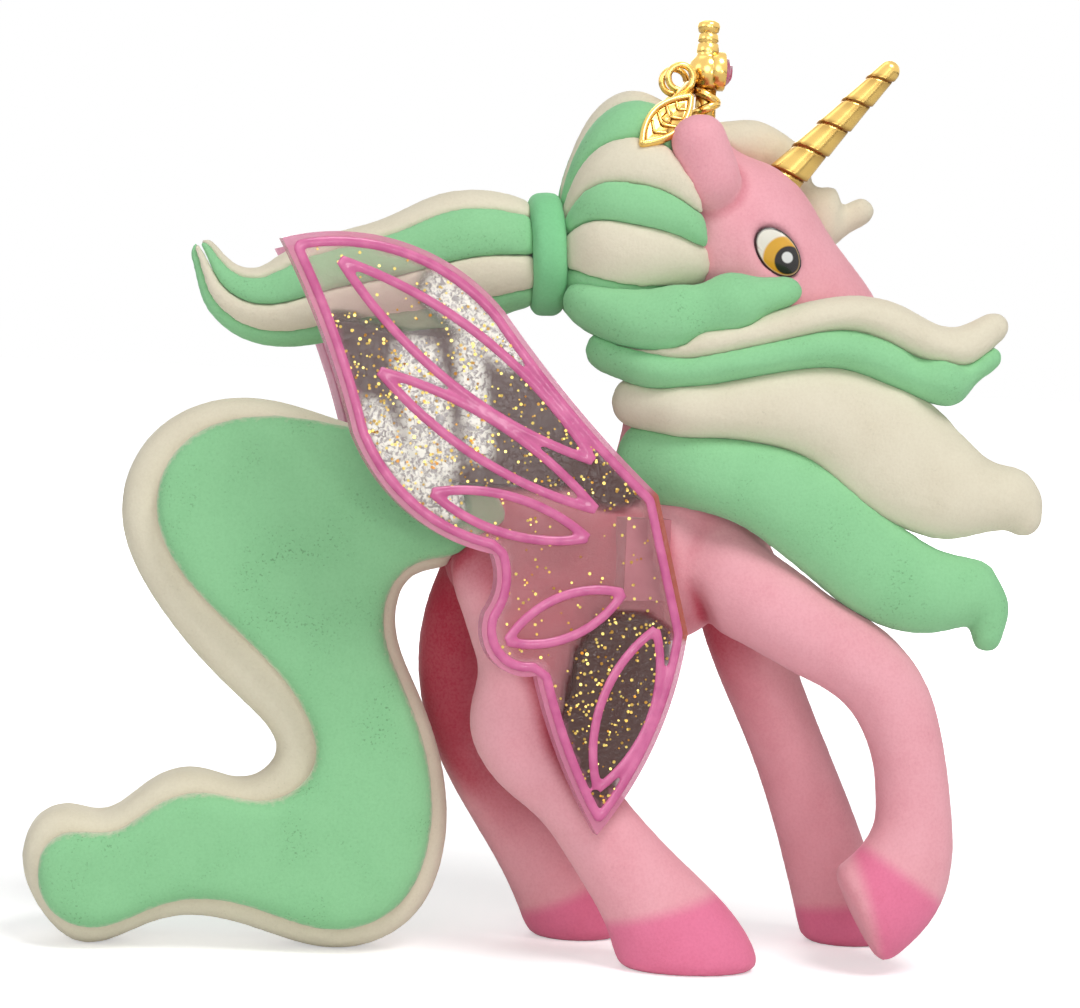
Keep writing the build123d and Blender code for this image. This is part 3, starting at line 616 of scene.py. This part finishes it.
def arc_points(first, middle, last):
    (ax, ay), (bx, by), (cx, cy) = first, middle, last
    d = 2.0 * (ax * (by - cy) + bx * (cy - ay) + cx * (ay - by))
    a2, b2, c2 = ax * ax + ay * ay, bx * bx + by * by, cx * cx + cy * cy
    ox = (a2 * (by - cy) + b2 * (cy - ay) + c2 * (ay - by)) / d
    oy = (a2 * (cx - bx) + b2 * (ax - cx) + c2 * (bx - ax)) / d
    radius = math.hypot(ax - ox, ay - oy)
    start = math.atan2(ay - oy, ax - ox)
    swing = math.remainder(math.atan2(by - oy, bx - ox) - start, math.tau)
    swing += math.remainder(math.atan2(cy - oy, cx - ox) - start - swing, math.tau)
    count = max(3, math.ceil(abs(swing) * radius / ARC_STEP))
    turns = [start + swing * k / count for k in range(count)]
    return [(ox + radius * math.cos(turn), oy + radius * math.sin(turn)) for turn in turns]


def wing_outline():
    points = [point for arc in WING_ARCS for point in arc_points(*arc)]
    (ax, ay), (bx, by) = WING_ARCS[-1][-1], WING_ARCS[0][0]
    shares = [k / ROOT_STEPS for k in range(ROOT_STEPS)]
    return points + [(ax + (bx - ax) * share, ay + (by - ay) * share) for share in shares]


def leaf_outline(start, end, bulge):
    (ax, ay), (bx, by) = start, end
    mx, my = (ax + bx) / 2, (ay + by) / 2
    sx, sy = (ay - by) * bulge, (bx - ax) * bulge
    return arc_points(start, (mx + sx, my + sy), end) + arc_points(end, (mx - sx, my - sy), start)


def path_distance(u, v, path):
    nearest = math.inf
    for (ax, ay), (bx, by) in zip(path, path[1:]):
        run = (bx - ax) ** 2 + (by - ay) ** 2
        along = max(0.0, min(1.0, ((u - ax) * (bx - ax) + (v - ay) * (by - ay)) / run))
        off_u, off_v = u - ax - along * (bx - ax), v - ay - along * (by - ay)
        nearest = min(nearest, math.hypot(off_u, off_v))
    return nearest


def inset_path(outline, amount):
    ring = outline + outline[:1]
    turn = sum(a[0] * b[1] - b[0] * a[1] for a, b in zip(ring, ring[1:]))
    way = math.copysign(1.0, turn)
    path = []
    for (ax, ay), (bx, by) in zip(ring, ring[1:]):
        length = math.hypot(bx - ax, by - ay)
        nu, nv = -(by - ay) / length * way, (bx - ax) / length * way
        u, v = (ax + bx) / 2 + nu * amount, (ay + by) / 2 + nv * amount
        if path_distance(u, v, ring) > amount - 0.02:
            path.append((u, v))
    return path


def cell_share(u, v, cells):
    shares = []
    for spine, reach, fade in cells:
        shares.append(1.0 - smooth_step(reach, reach + fade, path_distance(u, v, spine)))
    return max(shares)


def closed_mesh(name, shape):
    bmesh.ops.recalc_face_normals(shape, faces=shape.faces)
    mesh = bpy.data.meshes.new(name)
    shape.to_mesh(mesh)
    shape.free()
    return mesh


def wing_plate(name, side):
    outline = wing_outline()
    plate = bmesh.new()
    plate.faces.new([plate.verts.new((u, v, WING_PLATE)) for u, v in outline])
    for axis, (low, high) in enumerate(WING_REACH):
        way = Vector((1.0 - axis, axis, 0.0))
        for k in range(1, int((high - low) / WING_GRID)):
            every = plate.verts[:] + plate.edges[:] + plate.faces[:]
            cut = way * (low + WING_GRID * k)
            bmesh.ops.bisect_plane(plate, geom=every, plane_co=cut, plane_no=way, dist=1e-5)
    walls = bmesh.ops.extrude_face_region(plate, geom=plate.faces[:])
    for item in walls["geom"]:
        if isinstance(item, bmesh.types.BMVert):
            item.co.z = 0.0
    foot = Matrix.Translation(WING_FOOT_AT) @ Matrix.Diagonal((*WING_FOOT, 1.0))
    bmesh.ops.create_cube(plate, size=1.0, matrix=foot)
    mesh = closed_mesh(name, plate)

    ring = outline + outline[:1]
    flat = [tuple(vert.co) for vert in mesh.vertices]
    within = [smooth_step(*BORDER, path_distance(u, v, ring)) for u, v, _ in flat]
    for layer, cells in (("painted_dark", PAINTED_DARK_CELLS), ("silver_and_glare", SILVER_AND_GLARE_CELLS)):
        shares = [cell_share(u, v, cells) for u, v, _ in flat]
        set_layer(mesh, layer, [share * room for share, room in zip(shares, within)])
    set_layer(mesh, "border", [1.0 - share for share in within])
    set_layer(mesh, "seam_and_shade", [cell_share(u, v, [SEAM_AND_SHADE_CELL]) for u, v, _ in flat])
    for vert, (u, v, w) in zip(mesh.vertices, flat):
        vert.co = wing_place(u, v, w, side)
    if side < 0:
        mesh.flip_normals()
    piece = place_piece(name, mesh)
    rounded = piece.modifiers.new("rounded", "BEVEL")
    rounded.width = WING_ROUNDING * MM
    rounded.segments = 3
    rounded.limit_method = "ANGLE"
    rounded.angle_limit = math.radians(50.0)
    rounded.harden_normals = False
    return piece


def wing_lines(name, side):
    paths = [(inset_path(wing_outline(), LINE_INSET), True)]
    for begin, finish, bulge in WING_LEAVES:
        leaf = leaf_outline(begin, finish, bulge)
        half = len(leaf) // 2
        paths += [(leaf[:half] + [finish], False), (leaf[half:] + [begin], False)]
    curve = bpy.data.curves.new(name + "_paths", "CURVE")
    curve.dimensions = "3D"
    curve.bevel_depth = LINE_HALF * MM
    curve.bevel_resolution = 4
    curve.use_fill_caps = True
    for path, closed in paths:
        spline = curve.splines.new("POLY")
        spline.points.add(len(path) - 1)
        spline.use_cyclic_u = closed
        for knot, (u, v) in zip(spline.points, path):
            knot.co = (*wing_place(u, v, WING_PLATE, side), 1.0)
    drawn = place_piece(name + "_paths", curve)
    tubes = final_mesh(drawn)
    bpy.data.objects.remove(drawn)
    piece = place_piece(name, tubes)
    wrap_voxels(piece, LINE_VOXEL)
    eased = piece.modifiers.new("eased", "SMOOTH")
    eased.factor = 0.5
    eased.iterations = 5
    mesh = final_mesh(piece)
    piece.modifiers.clear()
    piece.data = mesh
    rest = wing_place(0.0, 0.0, WING_PLATE, side)
    outward = (wing_place(0.0, 0.0, 1.0, side) - wing_place(0.0, 0.0, 0.0, side)).normalized()
    for vert in mesh.vertices:
        vert.co -= outward * ((vert.co - rest).dot(outward) * (1.0 - LINE_RISE))
    shade_smooth(mesh)
    return piece


def bridge(shape, rings, capped=True):
    for low, high in zip(rings, rings[1:]):
        for k in range(len(low)):
            after = (k + 1) % len(low)
            shape.faces.new((low[k], low[after], high[after], high[k]))
    if capped:
        shape.faces.new(rings[0][::-1])
        shape.faces.new(rings[-1])


FLAKE_COUNT = 1000
FLAKE_SIDES = 6
FLAKE_RADIUS = (0.05, 0.10)
FLAKE_TILT = 0.25
FLAKE_FLOAT = 0.03
FLAKE_TOP = 0.02
FLAKE_BOTTOM = 0.03
FLAKE_INSET = 0.5
FLAKE_REACH = ((-23.5, 0.8), (8.2, 40.0))


def inside(u, v, outline):
    crossed = False
    for (ax, ay), (bx, by) in zip(outline, outline[1:] + outline[:1]):
        if (ay > v) != (by > v) and u < (bx - ax) * (v - ay) / (by - ay) + ax:
            crossed = not crossed
    return crossed


def wing_glitter(name, side, seed):
    dice = random.Random(seed)
    tones = random.Random(seed + 100)
    flakes = bmesh.new()
    layer = flakes.verts.layers.float.new("shade_and_tone")
    room = inset_path(wing_outline(), FLAKE_INSET)
    done = 0
    while done < FLAKE_COUNT:
        u, v = dice.uniform(*FLAKE_REACH[0]), dice.uniform(*FLAKE_REACH[1])
        if not inside(u, v, room):
            continue
        thick = max(0.8 * cell_share(u, v, PAINTED_DARK_CELLS), 0.5 * cell_share(u, v, SILVER_AND_GLARE_CELLS))
        if dice.random() > 0.22 + 0.78 * thick:
            continue
        size = dice.uniform(*FLAKE_RADIUS)
        spin = dice.uniform(0.0, math.tau)
        tilt_u = dice.uniform(-FLAKE_TILT, FLAKE_TILT)
        tilt_v = dice.uniform(-FLAKE_TILT, FLAKE_TILT)
        lift = WING_PLATE + dice.uniform(0.0, FLAKE_FLOAT)
        low, top = [], []
        for k in range(FLAKE_SIDES):
            du = size * math.cos(spin + k * math.tau / FLAKE_SIDES)
            dv = size * math.sin(spin + k * math.tau / FLAKE_SIDES)
            w = lift + du * tilt_u + dv * tilt_v
            low.append(flakes.verts.new(wing_place(u + du, v + dv, w - FLAKE_BOTTOM, side)))
            top.append(flakes.verts.new(wing_place(u + du, v + dv, w + FLAKE_TOP, side)))
        tone = tones.random() ** 1.5
        for vert in low + top:
            vert[layer] = tone
        bridge(flakes, [low, top])
        done += 1
    return place_piece(name, closed_mesh(name, flakes))


def wing_plate_material():
    made, tree, shader = new_material("clear_wing", {"Roughness": 0.16, "Coat Roughness": 0.08})
    layers = ("painted_dark", "silver_and_glare", "seam_and_shade", "border")
    painted_dark, silver_and_glare, seam_and_shade, border = (painted(tree, layer) for layer in layers)
    crinkle = grain_noise(tree, 3800.0, 3.0, 0.8)
    film_and_glare = reckon(tree, "MULTIPLY", remap(tree, crinkle, 0.40, 0.56), silver_and_glare)
    dark = reckon(tree, "MAXIMUM", painted_dark, silver_and_glare)

    # Painted shade: the dark brown under the dark cells and the silvery film, with its raised alpha, is
    # dark as if a dark room showed through.
    colour = mix_colours(tree, remap(tree, dark, 0.0, 0.2), srgb(230, 182, 184), srgb(86, 62, 58))
    colour = mix_colours(tree, border, colour, srgb(226, 140, 172))
    # Partly glue, partly painted shade: the brownish seam where the wing meets the body.
    colour = mix_colours(tree, seam_and_shade, colour, srgb(178, 92, 78))
    # Partly painted reflection: the pale crinkled film colour stands in partly for a lamp's glare on
    # the plate.
    colour = mix_colours(tree, film_and_glare, colour, srgb(214, 207, 192))
    rim = reckon(tree, "MULTIPLY", border, 0.65)
    thick = reckon(tree, "MAXIMUM", reckon(tree, "MAXIMUM", dark, seam_and_shade), rim)
    relief = {"Strength": 0.25, "Distance": 0.1 * MM, "Height": crinkle}
    finish = {
        "Base Color": colour,
        "Alpha": remap(tree, thick, 0.0, 1.0, 0.18, 0.92),
        "Coat Weight": remap(tree, silver_and_glare, 0.0, 1.0, 0.08, 0.4),
        "Specular IOR Level": remap(tree, silver_and_glare, 0.0, 1.0, 0.22, 0.5),
        "Normal": add_node(tree, "Bump", "Normal", relief),
    }
    wire(tree, shader, finish)
    return made


def mottled_material(name, settings, scale, detail, stops):
    made, tree, shader = new_material(name, settings)
    tone = two_tones(tree, grain_noise(tree, scale, detail), stops)
    wire(tree, shader, {"Base Color": tone})
    return made


def gold_material(name, bright, deep, roughness):
    made, tree, shader = new_material(name, {"Metallic": 1.0})
    worn = grain_noise(tree, 1400.0, 3.0)
    # Painted shade: the gold runs to its dark tone where the horn and tiara are marked as shaded; each
    # glitter flake gets its own random tone from the same layer.
    finish = {
        "Base Color": mix_colours(tree, painted(tree, "shade_and_tone"), bright, deep),
        "Roughness": remap(tree, worn, 0.0, 1.0, roughness * 0.6, roughness * 1.5),
    }
    wire(tree, shader, finish)
    return made


LINE_FINISH = {"Roughness": 0.34, "Coat Weight": 0.25}
LINE_TONES = ((0.32, srgb(198, 84, 140)), (0.66, srgb(220, 112, 162)))
GLUE_FINISH = {"Roughness": 0.6}
# Painted shade: the glue foot is coloured the darker pink of the shaded body seen through the plate.
GLUE_SHADE_TONES = ((0.32, srgb(178, 100, 112)), (0.66, srgb(194, 118, 128)))
CLEAR_WING = wing_plate_material()
WING_LINE = mottled_material("wing_line_paint", LINE_FINISH, 900.0, 4.0, LINE_TONES)
WING_GLUE = mottled_material("wing_glue", GLUE_FINISH, 900.0, 4.0, GLUE_SHADE_TONES)
GLITTER = gold_material("gold_glitter", srgb(255, 228, 130), srgb(176, 116, 40), 0.3)
for wing, side, seed in (("right_wing", 1.0, 11), ("left_wing", -1.0, 12)):
    plate = settle(wing_plate(wing + "_plate", side), CLEAR_WING, "clear_wing", wing)
    plate.data.materials.append(WING_GLUE)
    for face in plate.data.polygons[-WING_FOOT_FACES:]:
        face.material_index = 1
    settle(wing_lines(wing + "_lines", side), WING_LINE, "clear_wing")
    settle(wing_glitter(wing + "_glitter", side, seed), GLITTER, "gold_plate")

# Horn: a straight tapered spike with a raised edge that winds round it in five turns, moulded in
# plastic and plated bright gold, with a peg into the brow.
HORN_FOOT = Vector((13.2, 0.0, 45.2))
HORN_TIP = Vector((19.7, 0.0, 52.4))
HORN_TURNS = 5
HORN_BASE_RADIUS = 1.16
HORN_TIP_RADIUS = 0.62
HORN_STEPS = 170
HORN_SUNK_STEPS = 8
HORN_SIDES = 56
HORN_DOME = 0.94
GROOVE_DEPTH = 0.20
GROOVE_SLOPE = 0.10


def horn_mesh():
    way = HORN_TIP - HORN_FOOT
    along = way.normalized()
    across = along.cross(Vector((0.0, 1.0, 0.0))).normalized()
    beside = along.cross(across)
    shape = bmesh.new()
    layer = shape.verts.layers.float.new("shade_and_tone")
    rings = []
    for step in range(-HORN_SUNK_STEPS, HORN_STEPS + 1):
        share = step / HORN_STEPS
        taper = HORN_BASE_RADIUS + (HORN_TIP_RADIUS - HORN_BASE_RADIUS) * share
        if share > HORN_DOME:
            taper *= math.sqrt(max(0.02, 1.0 - ((share - HORN_DOME) / (1.0 - HORN_DOME)) ** 2))
        ring = []
        for k in range(HORN_SIDES):
            turn = k / HORN_SIDES
            phase = (share * HORN_TURNS - turn) % 1.0
            groove = GROOVE_DEPTH * (1.0 - smooth_step(0.0, 0.10, phase)) + GROOVE_SLOPE * phase
            radius = taper * (1.0 - groove)
            angle = turn * math.tau
            out = across * (radius * math.cos(angle)) + beside * (radius * math.sin(angle))
            vert = shape.verts.new((HORN_FOOT + way * share + out) * MM)
            # Painted shade: the gold is darkened in the groove under each turn of the raised edge and a
            # little before the next.
            vert[layer] = 1.0 - smooth_step(0.0, 0.25, phase) + 0.35 * smooth_step(0.55, 1.0, phase)
            ring.append(vert)
        rings.append(ring)
    bridge(shape, rings)
    return closed_mesh("spiral_horn", shape)


GOLD = gold_material("gold_plate", srgb(246, 206, 120), srgb(128, 74, 22), 0.2)
horn = place_piece("spiral_horn", horn_mesh())
shade_smooth(horn.data)
settle(horn, GOLD, "gold_plate", "horn")

# Tiara: a gold-plated band over the hair cap with a dished leaf on each side, a round loop above it,
# crossed ribs at the front, a collared finial on top and a cup that holds a faceted pink stone.
UP = Vector((0.0, 0.0, 1.0))
AHEAD = Vector((1.0, 0.0, 0.0))
LEFT = Vector((0.0, 1.0, 0.0))
WIRE_SIDES = 12
TURNED_SIDES = 28
LOOP_STEPS = 32
TIARA_PATH = [
    Vector((5.7, -3.9, 47.9)),
    Vector((6.7, -2.3, 49.4)),
    Vector((7.5, 0.0, 50.3)),
    Vector((6.7, 2.3, 49.4)),
    Vector((5.7, 3.9, 47.9)),
]
LEAF_MIDDLE = Vector((5.8, -4.05, 48.1))
LEAF_LEAN = math.radians(52.0)
LEAF_TIP_BACK = math.radians(27.0)
LEAF_LENGTH = 2.15
LEAF_WIDTH = 0.88
LEAF_STEPS = 44
LEAF_BACK = 0.34
# The dish of a leaf: share of the rim's size and height, from the rim to the middle.
LEAF_DISH = ((1.0, 0.1), (0.75, 0.05), (0.45, 0.0), (0.12, -0.02))
LEAF_RIBS = (-1.1, -0.4, 0.3, 1.0)
RIB_REACH = 0.8
RIB_SWEEP = 0.5
LOOP_MIDDLE = Vector((6.9, -1.3, 50.8))
LOOP_RADIUS = 0.72
FINIAL_X = 8.6
STEM_Z = 47.6
# Height and radius of each ring of the turned pieces, and height and lean of the crossed ribs.
STEM = [(0.0, 0.62), (3.4, 0.6)]
CROSSED_RIBS = ((48.5, 28.0), (49.2, -28.0), (49.9, 28.0))
FINIAL_Z = 50.2
FINIAL = [
    (0.0, 0.55), (0.35, 0.85), (0.75, 1.03), (1.2, 1.1), (1.65, 1.0), (1.95, 0.74),
    (2.1, 0.6), (2.25, 0.66), (2.7, 0.62), (2.76, 0.5), (2.85, 0.6), (3.25, 0.57),
    (3.31, 0.46), (3.4, 0.58), (3.7, 0.66), (3.9, 0.62), (4.03, 0.46), (4.1, 0.2),
]
STONE_Z = 51.4
CUP = [(0.0, 0.9), (0.3, 1.15), (0.95, 1.15), (1.0, 1.1), (1.0, 1.0), (0.85, 0.97)]


def spline_points(knots, steps):
    points = []
    last = len(knots) - 1
    for run in range(last):
        a, b, c, d = (knots[min(max(k, 0), last)] for k in range(run - 1, run + 3))
        for k in range(steps):
            t = k / steps
            bend = (2 * a - 5 * b + 4 * c - d) * t * t + (3 * b - a - 3 * c + d) * t ** 3
            points.append(0.5 * (2 * b + (c - a) * t + bend))
    return points + [knots[-1]]


def oval_ring(shape, middle, across, beside, wide, tall, count):
    ring = []
    for k in range(count):
        angle = k * math.tau / count
        spot = middle + across * (wide * math.cos(angle)) + beside * (tall * math.sin(angle))
        ring.append(shape.verts.new(spot * MM))
    return ring


def add_wire(shape, points, wide, tall, up, closed=False):
    rings = []
    count = len(points)
    for k, here in enumerate(points):
        before = points[(k - 1) % count] if closed or k else here
        after = points[(k + 1) % count] if closed or k < count - 1 else here
        along = (after - before).normalized()
        side = along.cross(up).normalized()
        rings.append(oval_ring(shape, here, side, side.cross(along), wide, tall, WIRE_SIDES))
    if closed:
        rings.append(rings[0])
    bridge(shape, rings, capped=not closed)


def add_turned(shape, foot, way, profile):
    across = way.orthogonal().normalized()
    beside = way.cross(across)
    rings = []
    for height, radius in profile:
        middle = foot + way * height
        rings.append(oval_ring(shape, middle, across, beside, radius, radius, TURNED_SIDES))
    bridge(shape, rings)


def tiara_leaf(shape, side):
    middle = Vector((LEAF_MIDDLE.x, LEAF_MIDDLE.y * side, LEAF_MIDDLE.z))
    out = Vector((0.0, -math.cos(LEAF_TIP_BACK) * side, math.sin(LEAF_TIP_BACK)))
    ahead = Vector((math.cos(LEAF_LEAN), 0.0, math.sin(LEAF_LEAN)))
    ahead = (ahead - out * ahead.dot(out)).normalized()
    across = out.cross(ahead)
    rim = []
    for k in range(LEAF_STEPS):
        turn = k * math.tau / LEAF_STEPS
        along = math.cos(turn)
        wide = math.copysign(LEAF_WIDTH * (1.0 - along * along), math.sin(turn))
        rim.append(middle + ahead * (LEAF_LENGTH * along) + across * wide)
    add_wire(shape, rim, 0.2, 0.3, out, closed=True)
    spots = [[spot - out * LEAF_BACK for spot in rim]]
    for share, height in LEAF_DISH:
        spots.append([middle + (spot - middle) * share + out * height for spot in rim])
    bridge(shape, [[shape.verts.new(spot * MM) for spot in ring] for ring in spots])
    for place in LEAF_RIBS:
        reach = RIB_REACH * (1.0 - (place / LEAF_LENGTH) ** 2)
        for way in (1.0, -1.0):
            foot = middle + ahead * place + out * 0.04
            end = middle + ahead * (place + RIB_SWEEP) + across * (reach * way)
            add_wire(shape, spline_points([foot, end], 4), 0.1, 0.12, out)


def loop_points(middle, radius, across, beside):
    turns = [k * math.tau / LOOP_STEPS for k in range(LOOP_STEPS)]
    return [middle + (across * math.cos(turn) + beside * math.sin(turn)) * radius for turn in turns]


def tiara_mesh():
    shape = bmesh.new()
    add_wire(shape, spline_points(TIARA_PATH, 14), 0.45, 0.42, AHEAD)
    for side in (1.0, -1.0):
        tiara_leaf(shape, side)
        middle = Vector((LOOP_MIDDLE.x, LOOP_MIDDLE.y * side, LOOP_MIDDLE.z))
        add_wire(shape, loop_points(middle, LOOP_RADIUS, AHEAD, UP), 0.2, 0.24, LEFT, closed=True)
    add_turned(shape, Vector((FINIAL_X, 0.0, STEM_Z)), UP, STEM)
    for height, lean in CROSSED_RIBS:
        leaning = Matrix.Rotation(math.radians(lean), 3, "Y") @ AHEAD
        collar = loop_points(Vector((FINIAL_X, 0.0, height)), 0.7, leaning, LEFT)
        add_wire(shape, collar, 0.28, 0.28, UP, closed=True)
    add_turned(shape, Vector((FINIAL_X, 0.0, FINIAL_Z)), UP, FINIAL)
    add_turned(shape, Vector((FINIAL_X, 0.0, STONE_Z)), AHEAD, CUP)
    return closed_mesh("gold_tiara", shape)


RECESS_START = 0.02
RECESS_REACH = 2.0
RECESS_RANGE = (0.2, 0.75)
RECESS_TONE = 0.85


def shade_recesses(mesh):
    corners = [vert.co.copy() for vert in mesh.vertices]
    tree = BVHTree.FromPolygons(corners, [face.vertices[:] for face in mesh.polygons])
    covered = [covered_share(tree, vert, RECESS_START, RECESS_REACH) for vert in mesh.vertices]
    set_layer(mesh, "shade_and_tone", [RECESS_TONE * smooth_step(*RECESS_RANGE, share) for share in covered])


tiara = place_piece("gold_tiara", tiara_mesh())
shade_smooth(tiara.data)
shade_recesses(tiara.data)
settle(tiara, GOLD, "gold_plate", "tiara")

# Tiara stone: a small pink stone of glass, cut with eight sides and a flat table.
# It is set in the cup at the front of the finial.
STONE_SIDES = 8
# Each ring of corners: its place along x, its radius and its turn in steps.
STONE_RINGS = [
    (8.85, 0.5, 0.0),
    (9.25, 0.95, 0.0),
    (9.6, 0.95, 0.0),
    (9.85, 0.74, 0.5),
    (10.02, 0.48, 0.0),
]
STONE_FINISH = {"Roughness": 0.05, "IOR": 1.6, "Coat Weight": 0.8, "Coat Roughness": 0.03}
STONE_TONES = ((0.35, srgb(150, 40, 74)), (0.65, srgb(214, 104, 140)))


def stone_mesh():
    shape = bmesh.new()
    rings = []
    for x, radius, shift in STONE_RINGS:
        ring = []
        for k in range(STONE_SIDES):
            angle = (k + shift) * math.tau / STONE_SIDES
            spot = Vector((x, radius * math.cos(angle), STONE_Z + radius * math.sin(angle)))
            ring.append(shape.verts.new(spot * MM))
        rings.append(ring)
    for low, high in zip(rings, rings[1:]):
        for k in range(STONE_SIDES):
            after = (k + 1) % STONE_SIDES
            shape.faces.new((low[k], low[after], high[k]))
            shape.faces.new((low[after], high[after], high[k]))
    shape.faces.new(rings[0][::-1])
    shape.faces.new(rings[-1])
    return closed_mesh("faceted_stone", shape)


PINK_STONE = mottled_material("pink_stone", STONE_FINISH, 700.0, 2.0, STONE_TONES)
stone = place_piece("faceted_stone", stone_mesh())
settle(stone, PINK_STONE, "pink_stone", "tiara_stone")

# Studio: a pale floor under the hooves, a white surround, soft lamps from the front, above and behind,
# and the camera at the photograph's angle.
WHITE = (1.0, 1.0, 1.0, 1.0)
FLOOR_GREY = (0.86, 0.86, 0.86, 1.0)
FLOOR_CORNERS = [(-3, -3, 0), (3, -3, 0), (3, 3, 0), (-3, 3, 0)]
SKY_LIGHT = 0.19
floor_mesh = bpy.data.meshes.new("studio_floor")
floor_mesh.from_pydata(FLOOR_CORNERS, [], [(0, 1, 2, 3)])
studio_floor = place_piece("studio_floor", floor_mesh)
floor_finish = {
    "Base Color": FLOOR_GREY,
    "Roughness": 0.9,
    "Specular IOR Level": 0.0,
    "Emission Color": WHITE,
}
floor_paint, floor_tree, floor_shader = new_material("studio_floor", floor_finish)
floor_place = add_node(floor_tree, "TexCoord", "Object", {})
floor_reach = add_node(floor_tree, "VectorMath", "Value", {0: floor_place}, operation="LENGTH")
floor_glow = remap(floor_tree, floor_reach, 0.03, 0.16, least=0.45)
floor_rays = add_node(floor_tree, "LightPath", "Is Camera Ray", {})
floor_seen = reckon(floor_tree, "MULTIPLY", floor_rays, floor_glow)
wire(floor_tree, floor_shader, {"Emission Strength": floor_seen})
floor_mesh.materials.append(floor_paint)

surround = bpy.data.worlds.new("surround")
surround.use_nodes = True
bpy.context.scene.world = surround
sky = surround.node_tree
sky_rays = sky.nodes.new("ShaderNodeLightPath").outputs
sky_seen = reckon(sky, "MAXIMUM", sky_rays["Is Camera Ray"], sky_rays["Is Glossy Ray"])
sky_through = reckon(sky, "MAXIMUM", sky_seen, sky_rays["Is Transmission Ray"])
sky_level = remap(sky, sky_through, 0.0, 1.0, least=SKY_LIGHT)
wire(sky, sky.nodes["Background"], {"Color": WHITE, "Strength": sky_level})


def soft_lamp(name, place, target, size, power):
    lamp = bpy.data.lights.new(name, "AREA")
    lamp.shape = "DISK"
    lamp.size = size
    lamp.energy = power
    holder = place_piece(name, lamp)
    holder.location = place
    holder.rotation_euler = (Vector(target) - Vector(place)).to_track_quat("-Z", "Y").to_euler()


soft_lamp("glare", (0.158, -0.373, 0.028), (-0.008, 0.0, 0.03), 0.05, 0.10)
soft_lamp("key", (0.14, -0.24, 0.44), (0.0, 0.0, 0.025), 0.20, 1.20)
soft_lamp("front", (-0.05, -0.46, 0.14), (0.0, 0.0, 0.025), 0.30, 0.58)
soft_lamp("side", (-0.40, -0.16, 0.20), (0.0, 0.0, 0.025), 0.26, 0.25)
soft_lamp("top", (-0.10, 0.10, 0.46), (0.0, 0.0, 0.03), 0.28, 0.16)
soft_lamp("back", (0.05, 0.44, 0.20), (0.0, 0.0, 0.025), 0.36, 0.70)

SENSOR_WIDTH = 36.0
PICTURE_WIDTH = 1080.0
FOCAL_PIXELS = 2941.0
CAMERA_AT = Vector((-17.77, -169.07, 35.0)) * MM
CAMERA_TARGET = Vector((0.0, 0.0, 26.0)) * MM
CAMERA_ROLL = math.radians(2.47)
camera_data = bpy.data.cameras.new("camera")
camera_data.sensor_width = SENSOR_WIDTH
camera_data.lens = FOCAL_PIXELS / PICTURE_WIDTH * SENSOR_WIDTH
camera_data.clip_start = 0.01
camera = place_piece("camera", camera_data)
forward = (CAMERA_TARGET - CAMERA_AT).normalized()
level_right = forward.cross(UP).normalized()
level_up = level_right.cross(forward)
right = level_right * math.cos(CAMERA_ROLL) + level_up * math.sin(CAMERA_ROLL)
above = level_up * math.cos(CAMERA_ROLL) - level_right * math.sin(CAMERA_ROLL)
turned = Matrix((right, above, -forward)).transposed().to_4x4()
camera.matrix_world = Matrix.Translation(CAMERA_AT) @ turned
bpy.context.scene.camera = camera
bpy.context.scene.view_settings.view_transform = "Standard"

bpy.context.view_layer.update()
